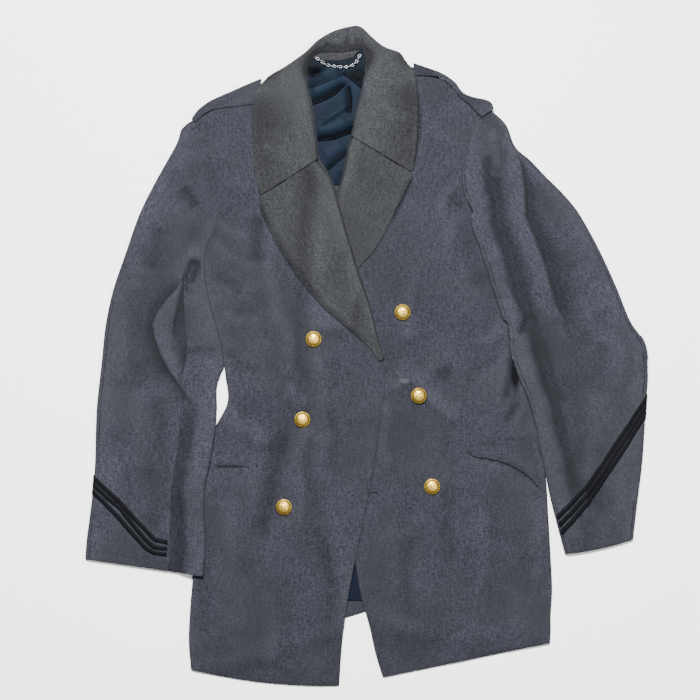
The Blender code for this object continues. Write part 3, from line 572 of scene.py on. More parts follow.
def right_front_top(x, y):
    """Height of the right front's outer face, over the left front where it laps it."""
    alone = FRONT_TOP + softness(x, y, FOLDS_FRONT_RIGHT)
    edge = read_line(y, FRONT_LEFT, 3, 2)
    lapped = smooth((x - edge + 48) / 34) * smooth((300 - y) / 40)
    lapel_edge = read_line(y, LAPEL_LEFT, 3, 2)
    over_lapel = smooth((lapel_edge + 26 - x) / 18) * smooth((y - 28) / 20) * lapped
    over = np.maximum(left_front_top(x, y) + LAYER, alone)
    return alone + (over - alone) * lapped + (LAYER + SOFT_GAP) * over_lapel


class Surface:
    """The outer face of a piece, as the ground that another piece lies on."""

    def __init__(self, grid):
        rows, columns = grid.shape[:2]
        faces = []
        for row in range(rows - 1):
            for column in range(columns - 1):
                first = row * columns + column
                faces.append((first, first + 1, first + columns + 1, first + columns))
        self.tree = BVHTree.FromPolygons([tuple(point) for point in grid.reshape(-1, 3)], faces)

    def __call__(self, x, y):
        heights = []
        for place in zip(x, y):
            hit = self.tree.ray_cast((*place, 100.0), (0, 0, -1))[0]
            if hit is None:
                hit = self.tree.find_nearest((*place, 5.0))[0]
            heights.append(hit[2])
        return np.array(heights)


def row_points(start, end, bow, shares):
    """Points on a row from its start to its end, bowed to the left of its run."""
    start = np.array(start, float)
    run = np.array(end, float) - start
    left = np.array((-run[1], run[0])) / np.hypot(*run)
    middle = start + np.outer(shares, run)
    return middle + np.outer(4 * bow * shares * (1 - shares), left)


def turn_down(line, outward, amount):
    """Three lines of points that turn a panel's boundary down to the floor.

    Where the edge hardly turns, the lines lie further apart, so that no strip is a sliver.
    """
    outward = outward / np.hypot(outward[:, 0], outward[:, 1])[:, None]
    lines = []
    for reach, height, flat_reach in ((0.7, 0.88, 0.0), (1.3, 0.55, 0.1), (1.5, 0.0, 0.6)):
        points = line.copy()
        points[:, :2] += outward * (reach + flat_reach * (1 - amount))[:, None]
        lowered = np.maximum(line[:, 2] * height, 0.3)
        points[:, 2] = line[:, 2] * (1 - amount) + lowered * amount
        lines.append(points)
    return lines


def front_grid(rows, shares, height, steps=STEPS):
    """Outer face of a front: across from the side to the edge, down to the hem."""
    grid = []
    turns = []
    for row in refine(rows, steps):
        start, end = np.array(row[0:2]), np.array(row[2:4])
        inward = (end - start) / np.hypot(*(end - start))
        start = start + inward * SIDE_INSET
        end = end - inward * row[6]
        xy = row_points(start, end, row[4], shares)
        grid.append(np.column_stack([xy, height(xy[:, 0], xy[:, 1])]))
        turns.append(np.clip(row[5], 0, 1))
    grid = np.array(grid)
    outward = grid[:, 0, :2] - grid[:, 1, :2]
    sides = turn_down(grid[:, 0], outward, np.array(turns))
    grid = np.concatenate([np.array(sides[::-1]).transpose(1, 0, 2), grid], axis=1)
    top = turn_down(grid[0], grid[0, :, :2] - grid[1, :, :2], np.full(grid.shape[1], SHOULDER_TURN))
    return np.concatenate([np.array(top[::-1]), grid], axis=0)


def along(line, shares):
    """Points at shares of the length of a line."""
    line = np.array(line, float)
    run = np.concatenate([[0], np.cumsum(np.hypot(*np.diff(line, axis=0).T))])
    return np.column_stack([np.interp(shares * run[-1], run, line[:, axis]) for axis in (0, 1)])


def back_grid(rows, shoulder, shares, steps=STEPS):
    """Outer face of one back, set inside the front that folds down over it."""
    rows = refine(rows, steps)
    bottom_y = read_line(0.0, BACK_HEM, 0, 1)
    grid = []
    for index, row in enumerate(rows):
        share = index / (len(rows) - 1)
        side = np.array(row[0:2])
        inward = np.array(row[2:4]) - side
        side = side + inward / np.hypot(*inward) * BACK_INSET
        side[1] = max(side[1], read_line(side[0], BACK_HEM, 0, 1) + 3 * (1 - share))
        middle_y = BACK_TOP_Y + (bottom_y - BACK_TOP_Y) * share
        middle_x = read_line(middle_y, CENTRE_BACK, 0, 1) + np.sign(side[0]) * 0.25
        xy = row_points(side, (middle_x, middle_y), 0, shares)
        if index == 0:
            xy = along([*shoulder[:-1], (middle_x, shoulder[-1][1])], shares)
        grid.append(np.column_stack([xy, np.full(len(shares), CLOTH)]))
    return np.array(grid)


def lapel_grid(rows, shares, below, pressed_y, steps=STEPS):
    """Outer face of a lapel, rolled down round the front's edge at its roll line."""
    grid = []
    for row in refine(rows, steps):
        roll, outer = np.array(row[0:2]), np.array(row[2:4])
        across = (outer - roll) / np.hypot(*(outer - roll))
        width = np.hypot(*(outer - roll))
        xy = row_points(roll + across * ROLL_INSET, outer, 0, shares)
        reach = shares * (width - ROLL_INSET)
        roll_rise = 2.4 * np.exp(-(reach / 16) ** 2) * smooth(width / 40)
        roll_rise *= smooth((roll[1] - pressed_y) / 30)
        z = below(xy[:, 0], xy[:, 1]) + LAYER + SOFT_GAP + roll_rise
        start = below(np.array([roll[0]]), np.array([roll[1]]))[0]
        curl = []
        for inset, height in ((0.0, -1.6), (-0.4, 0.6), (0.6, 2.2)):
            curl.append([*(roll + across * inset), start + height])
        grid.append(np.vstack([curl, np.column_stack([xy, z])]))
    return np.array(grid)


def collar_grid(rows=COLLAR, steps=STEPS):
    """Outer face of the collar: each section runs from the neck to the fall's edge."""
    grid = []
    for row in refine(rows, steps):
        stand, edge = np.array(row[0:2]), np.array(row[2:4])
        low, crown, rim, turned = row[4:8]
        width = np.hypot(*(edge - stand))
        drop = crown - rim
        lying = (
            (1.6, low), (0.0, 0.5 * (low + crown)), (0.05 * width, low + 0.92 * (crown - low)),
            (0.17 * width, crown), (0.42 * width, crown - 0.30 * drop),
            (0.70 * width, crown - 0.78 * drop), (0.88 * width, rim + 0.02 * drop), (width, rim),
        )
        under = (
            (0.0, low), (0.25 * width, low + 0.34 * (crown - low)),
            (0.52 * width, low + 0.74 * (crown - low)), (0.84 * width, crown),
            (width - 0.8, 0.80 * crown), (width, 0.36 * crown),
            (width - 2.5, 0.0), (width - FALL_UNDER * min(1.0, width / 36), 0.0),
        )
        turned = np.clip(turned, 0, 1)
        section = np.array(lying) * (1 - turned) + np.array(under) * turned
        section = refine(section, steps)
        xy = stand + np.outer(section[:, 0] / width, edge - stand)
        grid.append(np.column_stack([xy, np.maximum(section[:, 1], 0.0)]))
    return np.array(grid)


def strap_grid(rows, shares, below, steps=STEPS):
    """Outer face of a shoulder strap, turned down over the shoulder's edge."""
    grid = []
    for row in refine(rows, steps):
        outline, lower = np.array(row[0:2]), np.array(row[2:4])
        xy = row_points(outline, lower, 0, shares)
        ground = below(xy[:, 0], xy[:, 1])
        z = np.maximum(ground, ground.mean()) + LAYER_GAP + STRAP_CLOTH + row[4]
        z[-1] -= 0.3 * row[4]
        across = (outline - lower) / np.hypot(*(outline - lower))
        top = z[0]
        floor = 0.3 + 0.8 * row[4]
        curl = []
        for reach, height in ((1.6, floor), (1.4, floor + 0.55 * (top - floor)), (0.8, top - 0.6)):
            curl.append([*(outline + across * reach), height])
        grid.append(np.vstack([curl, np.column_stack([xy, z])]))
    return np.array(grid)


def pocket_grid(rows, shares, below, lift, steps=STEPS):
    """Outer face of a flap or welt that lies on a front."""
    grid = []
    for row in refine(rows, steps):
        xy = row_points(row[0:2], row[2:4], 0, shares)
        z = below(xy[:, 0], xy[:, 1]) + LAYER_GAP + POCKET_CLOTH + lift * shares ** 2
        grid.append(np.column_stack([xy, z]))
    return np.array(grid)


def lining_grid(rows, shares, folds, steps=STEPS):
    """Outer face of a lining strip that lies on the backs."""
    grid = []
    for left, right, y in refine(rows, steps):
        x = left + (right - left) * shares
        y_line = np.full_like(x, y)
        z = CLOTH + SEAM_GAP + LINING + np.maximum(fold_height(x, y_line, folds), 0)
        grid.append(np.column_stack([x, y_line, z]))
    return np.array(grid)


def band_grid(steps=STEPS):
    """Outer face of the band inside the neck, below the collar's seam."""
    grid = []
    for row in refine(COLLAR[8:14], steps):
        seam = np.array((row[0], row[1] - 0.8))
        toward = np.array((row[0] - row[2], row[1] - row[3]))
        lower = seam + toward / np.hypot(*toward) * BAND_HEIGHT
        lower[0] = np.clip(lower[0], -78, -8)
        xy = row_points(seam, lower, 0, np.array((0.0, 0.5, 1.0)))
        grid.append(np.column_stack([xy, BAND_TOPS]))
    return np.array(grid)


class Sleeve:
    """A flattened tube of cloth between an inner and an outer edge."""

    def __init__(self, rows, folds, steps=STEPS):
        self.rows = refine(rows, steps)
        self.folds = folds
        self.top_places = sleeve_places(0.0, 1.0)
        self.top_grid = self.grid(self.top_places)
        self.top_shares = [share + extra / USUAL_WIDTH for share, extra in self.top_places]

    def ring(self, row, places):
        """Points on one section. A place is a share round it and millimetres more.

        The millimetres are true at a seam, and shrink with a narrow section elsewhere.
        """
        inner, outer = np.array(row[0:2]), np.array(row[2:4])
        width = np.hypot(*(outer - inner))
        thick = row[6]
        shares, extras = np.array(places).T
        spread = np.where(np.abs(extras) < 1, width, max(width, LEAST_SPREAD))
        place = shares + extras / spread
        over = np.mod(place, 2) <= 1
        share = np.abs(np.mod(place + 1, 2) - 1)
        xy = row_points(inner, outer, row[4], share)
        from_edge = np.minimum(share, 1 - share) * width
        curve = np.sqrt(1 - (1 - np.clip(from_edge / (thick / 2), 0, 1)) ** 2)
        base = max(row[5], 0) * (1 - smooth((share * width - 16) / 26))
        creases = fold_height(xy[:, 0], xy[:, 1], self.folds) * smooth(from_edge / 14)
        crown = SLEEVE_CROWN * np.sin(pi * share) ** 2
        half = np.where(over, thick / 2 * curve, -thick / 2 * curve)
        z = base + thick / 2 + half + np.where(over, creases + crown, 0)
        return np.column_stack([xy, np.maximum(z, 0)])

    def grid(self, places):
        return np.array([self.ring(row, places) for row in self.rows])

    def point(self, share, height):
        """A point on the top, at a share across and a height above the cuff."""
        column = np.interp(share, self.top_shares, range(len(self.top_shares)))
        low = min(int(column), len(self.top_shares) - 2)
        line = self.top_grid[:, low] + (self.top_grid[:, low + 1] - self.top_grid[:, low]) * (column - low)
        line = line[::-1]
        run = np.concatenate([[0], np.cumsum(np.hypot(*np.diff(line[:, :2], axis=0).T))])
        return np.array([np.interp(height, run, line[:, axis]) for axis in range(3)])


def sleeve_places(start, end):
    """Places round a sleeve from one seam to the other, closer at its edges."""
    places = [(edge, extra) for edge in (0, 1, 2) for extra in ROUND_EDGE]
    for half_turn in (-1, 0, 1, 2):
        parts = TOP_PARTS if half_turn % 2 == 0 else UNDER_PARTS
        places += [(half_turn + part / parts, 0.0) for part in range(1, parts)]
    order = {place: place[0] + place[1] / USUAL_WIDTH for place in places}
    margin = 0.02
    inside = [place for place in places if start + margin < order[place] < end - margin]
    if (start, end) == (0.0, 1.0):
        inside = [place for place in places if 0 < order[place] < 1]
        return [(0, 0.0), *sorted(inside, key=order.get), (1, 0.0)]
    return [(start, SEAM_HALF_GAP), *sorted(inside, key=order.get), (end, -SEAM_HALF_GAP)]


def braid_grid(sleeve, rows, column):
    """Outer face of a flat braid, made from the sleeve's points moved out."""
    end = rows[-1][0]
    shares = sorted({row[0] for row in rows} | {share for share in sleeve.top_shares if share > end})
    heights = read_line(shares, rows, 0, column)
    middles = np.array([sleeve.point(share, height) for share, height in zip(shares, heights)])
    runs = np.gradient(middles, axis=0)
    reach = SEAM_GAP + BRAID_THICK
    grid = []
    for share, height, run in zip(shares, heights, runs):
        half = 0.5 * BRAID_WIDTH * min(np.hypot(run[0], run[1]) / max(abs(run[0]), 0.1), 1.8)
        upper, lower = sleeve.point(share, height + half), sleeve.point(share, height - half)
        step = 0.25 / USUAL_WIDTH * (1 if share > 0.9 else 20)
        inner = sleeve.point(max(share - step, 0.0), height)
        outer = sleeve.point(min(share + step, 1.0), height)
        normal = np.cross(outer - inner, upper - lower)
        normal *= np.sign(normal[2] + 1e-9) / np.linalg.norm(normal)
        grid.append([upper + normal * reach, lower + normal * reach])
    return np.array(grid)


def up_facing(grid):
    """1 or -1: the order of a face's corners that turns the grid's highest face up."""
    row, column = divmod(int(np.argmax(grid[:-1, :-1, 2] + grid[1:, 1:, 2])), grid.shape[1] - 1)
    corner = grid[row, column]
    across = grid[row, column + 1] - corner
    down = grid[row + 1, column] - corner
    return 1 if np.cross(across, down)[2] > 0 else -1


print("grid makers ready")

# %% [markdown]
# ## A wall of cloth
#
# A panel starts as the grid of its outer face. The wall behind it could come from
# a Solidify modifier, but that leaves square edges, and the rolled edge of thick
# wool is what catches the light. So the shell is built here: the inner face is
# the outer one moved in along its normals, and a half-round rim joins the two.
# Edges that are sewn to another piece stay square and crisp, so that the seam
# closes. UVs are the true lengths along the grid in metres, so that a weave keeps its
# scale and follows the panel. The attribute "rim" is the distance to the nearest
# free edge, for wear, and "fold_shade" is how far a point stands above the cloth
# around it, less a share for its slope. It carries painted shade, darker in the
# hollows and on steep sides, and painted light, paler on the ridges.

# %% A wall of cloth
RIM_RINGS = 3
DEEPEST, HIGHEST = -1.6, 1.2


def grid_normals(grid):
    """Unit normals of a grid's outer face."""
    across = np.gradient(grid, axis=1)
    down = np.gradient(grid, axis=0)
    normals = np.cross(across, down)
    normals /= np.maximum(np.linalg.norm(normals, axis=2, keepdims=True), 1e-9)
    return normals * up_facing(grid)


def grid_lengths(grid):
    """Lengths along the rows and down the columns, as a grid of (u, v)."""
    across = np.linalg.norm(np.diff(grid, axis=1), axis=2)
    down = np.linalg.norm(np.diff(grid, axis=0), axis=2)
    u = np.zeros(grid.shape[:2])
    u[:, 1:] = np.cumsum(across, axis=1)
    u -= u[:, grid.shape[1] // 2][:, None]
    v = np.zeros(grid.shape[:2])
    v[1:] = np.cumsum(down, axis=0)
    v[:] = v.mean(axis=1)[:, None]
    return u, v


def rim_distance(grid, free):
    """Distance to the nearest free edge."""
    far = np.full(grid.shape[:2], 1e3)
    for flag, edge in zip(free, (grid[0], grid[-1], grid[:, 0], grid[:, -1])):
        if not flag:
            continue
        for row in range(grid.shape[0]):
            gaps = np.linalg.norm(grid[row][:, None, :2] - edge[None, ::3, :2], axis=2).min(axis=1)
            far[row] = np.minimum(far[row], gaps)
    return far


def soft_average(values, lengths, reach):
    """Values averaged down a grid's first axis, weighted over a reach in millimetres."""
    gaps = (lengths[:, None] - lengths[None]) / reach
    weights = np.exp(-gaps ** 2)
    return (weights / weights.sum(axis=1, keepdims=True)) @ values


def measure_fold_shade(grid):
    """How far each point stands above the cloth around it, less what its slope takes off: painted shade in the
    hollows and on steep sides, painted light on the ridges.
    """
    u, v = grid_lengths(grid)
    height = grid[:, :, 2]
    total = np.zeros_like(height)
    for reach, share in ((8.0, 0.75), (26.0, 0.55)):
        average = soft_average(height, v.mean(axis=1), reach)
        total += share * (height - soft_average(average.T, u.mean(axis=0), reach).T)
    slope = 1 - np.abs(grid_normals(grid)[:, :, 2])
    return np.clip(total, DEEPEST, HIGHEST) - 2.2 * np.clip(slope, 0, 0.6)


def boundary_loop(rows, columns):
    """Flat indices once round a grid, with the side that each lies on."""
    top = [(column, 0) for column in range(columns)]
    last = [(row * columns + columns - 1, 3) for row in range(1, rows)]
    bottom = [((rows - 1) * columns + column, 1) for column in range(columns - 2, -1, -1)]
    first = [(row * columns, 2) for row in range(rows - 2, 0, -1)]
    return top + last + bottom + first


def make_mesh(name, points, faces, materials):
    mesh = bpy.data.meshes.new(name)
    mesh.from_pydata([tuple(point) for point in np.asarray(points) * MM], [], faces)
    for material in materials:
        mesh.materials.append(material)
    mesh.update()
    mesh.shade_smooth()
    return mesh


def link(name, mesh):
    item = bpy.data.objects.new(name, mesh)
    bpy.context.collection.objects.link(item)
    return item


def shell(name, grid, material, wall=CLOTH, round_edges=(1, 1, 1, 1), free=(1, 1, 1, 1), facing=0):
    """A closed wall of cloth. round_edges says how far each edge bulges, in half walls.

    The edges are the first and last row, then the first and last column, also in free.
    """
    rows, columns = grid.shape[:2]
    count = rows * columns
    sign = facing or up_facing(grid)
    normals = grid_normals(grid) * (sign * up_facing(grid))
    lower = np.minimum(grid[..., 2], grid[..., 2] - normals[..., 2] * wall)
    grid = grid.copy()
    grid[..., 2] += np.maximum(-lower, 0)
    outer = grid.reshape(-1, 3)
    normal = normals.reshape(-1, 3)
    inner = outer - normal * wall
    index = np.arange(count).reshape(rows, columns)
    quads = np.stack([index[:-1, :-1], index[:-1, 1:], index[1:, 1:], index[1:, :-1]], axis=2)
    quads = quads.reshape(-1, 4)
    outside = quads[:, ::sign]
    inside = quads[:, ::-sign] + count
    loop = boundary_loop(rows, columns)
    edge = np.array([entry[0] for entry in loop])
    bulge = np.array([round_edges[entry[1]] for entry in loop], float)
    tangent = np.roll(outer[edge], -1, axis=0) - np.roll(outer[edge], 1, axis=0)
    away = np.cross(tangent, normal[edge])
    away /= np.maximum(np.linalg.norm(away, axis=1, keepdims=True), 1e-9)
    away *= sign
    middle = outer[edge] - normal[edge] * wall / 2
    rings = [edge]
    points = [outer, inner]
    start = 2 * count
    for ring in range(1, RIM_RINGS + 1):
        angle = pi * ring / (RIM_RINGS + 1)
        reach = (bulge * sin(angle))[:, None]
        points.append(middle + wall / 2 * (cos(angle) * normal[edge] + reach * away))
        rings.append(np.arange(start, start + len(edge)))
        start += len(edge)
    rings.append(edge + count)
    rim = []
    for near, beyond in zip(rings, rings[1:]):
        strip = np.stack([near, beyond, np.roll(beyond, -1), np.roll(near, -1)], axis=1)
        rim.append(strip[:, ::sign])
    faces = np.concatenate([outside, inside, *rim])
    points_flat = np.concatenate(points)
    points_flat[:, 2] = np.maximum(points_flat[:, 2], 0)
    mesh = make_mesh(name, points_flat, faces.tolist(), [material])
    square = np.zeros(len(points_flat), bool)
    square[edge[bulge < 0.05]] = True
    ends = np.zeros(2 * len(mesh.edges), np.int32)
    mesh.edges.foreach_get("vertices", ends)
    ends = ends.reshape(-1, 2)
    crisp = mesh.attributes.new("sharp_edge", "BOOLEAN", "EDGE")
    crisp.data.foreach_set("value", square[ends[:, 0]] & square[ends[:, 1]])

    def on_every_point(values):
        return np.concatenate([values, values] + [values[edge]] * RIM_RINGS)

    flat = np.column_stack([length.ravel() for length in grid_lengths(grid)]) * MM
    corners = np.zeros(len(mesh.loops), np.int32)
    mesh.loops.foreach_get("vertex_index", corners)
    mesh.uv_layers.new(name="cloth").data.foreach_set("uv", on_every_point(flat)[corners].ravel())
    measures = {"rim": rim_distance(grid, free).ravel() * MM, "fold_shade": measure_fold_shade(grid).ravel()}
    for label, values in measures.items():
        attribute = mesh.attributes.new(label, "FLOAT", "POINT")
        attribute.data.foreach_set("value", on_every_point(values).astype(np.float32))
    return link(name, mesh)


def cut(piece, grid):
    """Computes the lengths along a sheet's own rows and columns, and returns the piece unchanged."""
    u, v = grid_lengths(grid)
    return piece


def settle(piece, slot, *nodes):
    """The piece rides on the coat and stands for its CAD nodes, which it hides. The slot is not used."""
    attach(piece, BODY)
    if nodes:
        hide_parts(*nodes)
    return piece


def spread(shares, steps):
    """Shares across a panel, with steps more between each pair."""
    return refine(np.array(shares, float)[:, None], steps)[:, 0]


print("cloth shell ready, rim rings:", RIM_RINGS)

# %% [markdown]
# ## Node groups and materials
#
# The wool is a heather: yarns of several greys twisted together and woven in a
# twill. One flat grey looks like plastic, and a picture would not keep its scale.
# A group lays three noises on the cloth's own UVs, one drawn out along the warp,
# one along the weft and one fine fleck, and adds slow clouds in Object
# coordinates that drift from violet grey to green grey, as old wool fades. A
# second group gives a soft spot at a place, for the stain and the worn holes, and
# for painted shade: dark spots under the left strap, in the left front's side pinch,
# in the gorge notches, in the right pocket's slit and in the lining's neck corners.

# %% Node groups
class Graph:
    """Short calls for laying out a node tree."""

    def __init__(self, tree):
        self.tree = tree

    def feed(self, socket, value):
        if isinstance(value, bpy.types.NodeSocket):
            self.tree.links.new(value, socket)
        else:
            socket.default_value = value

    def add(self, kind, inputs=None, **settings):
        node = self.tree.nodes.new(kind)
        for name, value in settings.items():
            setattr(node, name, value)
        for name, value in (inputs or {}).items():
            self.feed(node.inputs[name], value)
        return node

    def attribute(self, name):
        return self.add("ShaderNodeAttribute", attribute_name=name).outputs["Fac"]

    def grey(self, tone):
        return self.add("ShaderNodeCombineColor", {0: tone, 1: tone, 2: tone}).outputs[0]

    def vectors(self, operation, *values, output=0):
        inputs = dict(enumerate(values))
        return self.add("ShaderNodeVectorMath", inputs, operation=operation).outputs[output]

    def math(self, operation, a, b=0.0):
        return self.add("ShaderNodeMath", {0: a, 1: b}, operation=operation).outputs[0]

    def stretch(self, vector, scale):
        return self.vectors("MULTIPLY", vector, scale)

    def noise(self, vector, scale, detail=2.0, distortion=0.0):
        inputs = {"Vector": vector, "Scale": scale, "Detail": detail, "Distortion": distortion}
        return self.add("ShaderNodeTexNoise", inputs).outputs[0]

    def between(self, value, low, high, to_low=0.0, to_high=1.0):
        return self.ranged(value, low, high, to_low, to_high, "SMOOTHSTEP")

    def ranged(self, value, low, high, to_low, to_high, kind="LINEAR"):
        inputs = {"Value": value, "From Min": low, "From Max": high, "To Min": to_low, "To Max": to_high}
        return self.add("ShaderNodeMapRange", inputs, interpolation_type=kind).outputs[0]

    def mix(self, factor, a, b, blend_type="MIX"):
        node = self.add("ShaderNodeMix", data_type="RGBA", blend_type=blend_type)
        self.feed(node.inputs[0], factor)
        self.feed(node.inputs[6], a)
        self.feed(node.inputs[7], b)
        return node.outputs[2]


def new_group(name, inputs, outputs):
    """A shader node group with typed sockets: its graph, its input and its output node."""
    group = bpy.data.node_groups.new(name, "ShaderNodeTree")
    for socket_name, kind, value in inputs:
        socket = group.interface.new_socket(socket_name, in_out="INPUT", socket_type=kind)
        if value is not None:
            socket.default_value = value
    for socket_name, kind in outputs:
        group.interface.new_socket(socket_name, in_out="OUTPUT", socket_type=kind)
    graph = Graph(group)
    return graph, graph.add("NodeGroupInput"), graph.add("NodeGroupOutput")


COLOUR, FLOAT, VECTOR = "NodeSocketColor", "NodeSocketFloat", "NodeSocketVector"


TWILL_PITCH = 0.0019


def make_heather_group():
    """Yarn colours and weave height of a heathered twill, on UVs in metres."""
    inputs = (
        ("Cloth", VECTOR, None), ("Place", VECTOR, None), ("Light", COLOUR, None),
        ("Dark", COLOUR, None), ("Faded", COLOUR, None), ("Fleck", COLOUR, None), ("Fading", FLOAT, 0.5),
    )
    outputs = (("Colour", COLOUR), ("Height", FLOAT))
    graph, source, result = new_group("heather_twill", inputs, outputs)
    cloth, place = source.outputs["Cloth"], source.outputs["Place"]
    warp = graph.noise(graph.stretch(cloth, (620.0, 70.0, 1.0)), 1.0, 3.0)
    weft = graph.noise(graph.stretch(cloth, (170.0, 620.0, 1.0)), 1.0, 3.0)
    fine = graph.noise(cloth, 820.0, 2.0)
    clump = graph.noise(cloth, 300.0, 3.0, 0.6)
    yarns = graph.math("MULTIPLY", graph.math("ADD", warp, weft), 0.5)
    clumps = graph.math("MULTIPLY", clump, 0.35)
    yarns = graph.math("ADD", graph.math("MULTIPLY", yarns, 0.65), clumps)
    shade = graph.between(yarns, 0.40, 0.60)
    colour = graph.mix(shade, source.outputs["Dark"], source.outputs["Light"])
    slow = graph.noise(place, 7.0, 3.0, 0.8)
    middle = graph.noise(place, 34.0, 3.0, 0.4)
    patches = graph.math("MULTIPLY", graph.between(middle, 0.45, 0.7), 0.22)
    fading = graph.math("MULTIPLY", graph.between(slow, 0.38, 0.66), source.outputs["Fading"])
    colour = graph.mix(graph.math("ADD", fading, patches), colour, source.outputs["Faded"])
    colour = graph.mix(graph.between(fine, 0.58, 0.72, 0.0, 0.55), colour, source.outputs["Fleck"])
    tone = graph.between(graph.noise(place, 16.0, 4.0, 0.5), 0.3, 0.7, 0.90, 1.08)
    colour = graph.mix(1.0, colour, graph.grey(tone), "MULTIPLY")
    split = graph.add("ShaderNodeSeparateXYZ", {0: cloth})
    diagonal = graph.math("ADD", split.outputs[0], split.outputs[1])
    diagonal = graph.math("MULTIPLY", diagonal, 2 * pi / TWILL_PITCH)
    twill = graph.math("MULTIPLY", graph.math("SINE", diagonal), 0.18)
    height = graph.math("ADD", graph.math("ADD", fine, clump), twill)
    graph.feed(result.inputs["Colour"], colour)
    graph.feed(result.inputs["Height"], height)
    return graph.tree


def make_spot_group():
    """A soft spot: 1 at a place in metres, 0 outside its reach, with a ragged rim."""
    inputs = (
        ("Place", VECTOR, None), ("Middle", VECTOR, None), ("Reach", VECTOR, None), ("Ragged", FLOAT, 0.3),
    )
    graph, source, result = new_group("soft_spot", inputs, (("Mask", FLOAT),))
    place = source.outputs["Place"]
    offset = graph.vectors("SUBTRACT", place, source.outputs["Middle"])
    scaled = graph.vectors("DIVIDE", offset, source.outputs["Reach"])
    flat = graph.stretch(scaled, (1.0, 1.0, 0.0))
    distance = graph.vectors("LENGTH", flat, output="Value")
    uneven = graph.math("SUBTRACT", graph.noise(place, 260.0, 3.0), 0.5)
    ragged = graph.math("MULTIPLY", uneven, source.outputs["Ragged"])
    graph.feed(result.inputs["Mask"], graph.between(graph.math("ADD", distance, ragged), 1.0, 0.35))
    return graph.tree


HEATHER = make_heather_group()
SPOT = make_spot_group()
print("node groups:", HEATHER.name, "and", SPOT.name)

# %% [markdown]
# ## Materials
#
# The body's wool is bluish. The collar and lapels are the same wool, greener and
# browner from wear, so they take the same group with other yarns. The lining is
# a navy satin that turns violet lower down. The braid is flat, nearly black and
# ribbed. The buttons are gilt brass with tarnish in their low parts, and the
# chain is a bright plated steel.

# %% Materials
def start_material(name, roughness, metallic=0.0, sheen=0.0, gloss=0.5):
    material = bpy.data.materials.new(name)
    material.use_nodes = True
    shader = material.node_tree.nodes["Principled BSDF"]
    shader.inputs["Roughness"].default_value = roughness
    shader.inputs["Metallic"].default_value = metallic
    shader.inputs["Specular IOR Level"].default_value = gloss
    shader.inputs["Sheen Weight"].default_value = sheen
    shader.inputs["Sheen Roughness"].default_value = 0.45
    return material, Graph(material.node_tree), shader


def finish_material(graph, shader, colour, roughness, bump):
    """Colour, roughness and a bump of (strength, distance, height) into the shader."""
    inputs = dict(zip(("Strength", "Distance", "Height"), bump))
    normal = graph.add("ShaderNodeBump", inputs).outputs[0]
    for socket, value in (("Base Color", colour), ("Roughness", roughness), ("Normal", normal)):
        graph.feed(shader.inputs[socket], value)


def on_cloth(graph):
    """Where a point is on the flat cloth, from its UVs, and on the coat."""
    cloth = graph.add("ShaderNodeUVMap", uv_map="cloth").outputs[0]
    return cloth, graph.add("ShaderNodeTexCoord").outputs["Object"]


def add_fold_shade(graph, colour, shaded_tone, lit_tone):
    """Painted shade in the hollows and on steep sides, painted light on the ridges, from the piece's
    fold_shade.
    """
    tone = graph.ranged(graph.attribute("fold_shade"), DEEPEST, HIGHEST, shaded_tone, lit_tone)
    return graph.mix(1.0, colour, graph.grey(tone), "MULTIPLY")


def add_spots(graph, colour, place, spots):
    """Soft spots over a colour. Spots are (middle, reach, colour, strength), in millimetres."""
    for middle, reach, spot_colour, strength in spots:
        spot = graph.add("ShaderNodeGroup", node_tree=SPOT)
        graph.feed(spot.inputs["Place"], place)
        graph.feed(spot.inputs["Middle"], [value * MM for value in (*middle, 0)])
        graph.feed(spot.inputs["Reach"], [value * MM for value in (*reach, 1000)])
        graph.feed(spot.inputs["Ragged"], 0.9 if strength < 0.6 else 0.25)
        colour = graph.mix(graph.math("MULTIPLY", spot.outputs["Mask"], strength), colour, spot_colour)
    return colour


def make_wool(name, light, dark, faded, fleck, fading, spots=()):
    """Heathered wool with worn rims, painted shade in its hollows, painted light on its ridges, and spots."""
    material, graph, shader = start_material(name, 0.9, sheen=0.03, gloss=0.05)
    cloth, place = on_cloth(graph)
    heather = graph.add("ShaderNodeGroup", node_tree=HEATHER)
    labels = ("Cloth", "Place", "Light", "Dark", "Faded", "Fleck", "Fading")
    for label, value in zip(labels, (cloth, place, light, dark, faded, fleck, fading)):
        graph.feed(heather.inputs[label], value)
    height = heather.outputs["Height"]
    patches = graph.between(graph.noise(place, 60.0), 0.35, 0.7)
    worn = graph.math("MULTIPLY", graph.between(graph.attribute("rim"), 0.005, 0.0), patches)
    colour = graph.mix(graph.math("MULTIPLY", worn, 0.35), heather.outputs["Colour"], faded)
    # Painted shade in the hollows and on steep sides, painted light on the ridges.
    colour = add_spots(graph, add_fold_shade(graph, colour, 0.60, 1.24), place, spots)
    roughness = graph.between(height, 0.7, 1.3, 0.86, 0.97)
    finish_material(graph, shader, colour, roughness, (0.55, 0.0007, height))
    return material


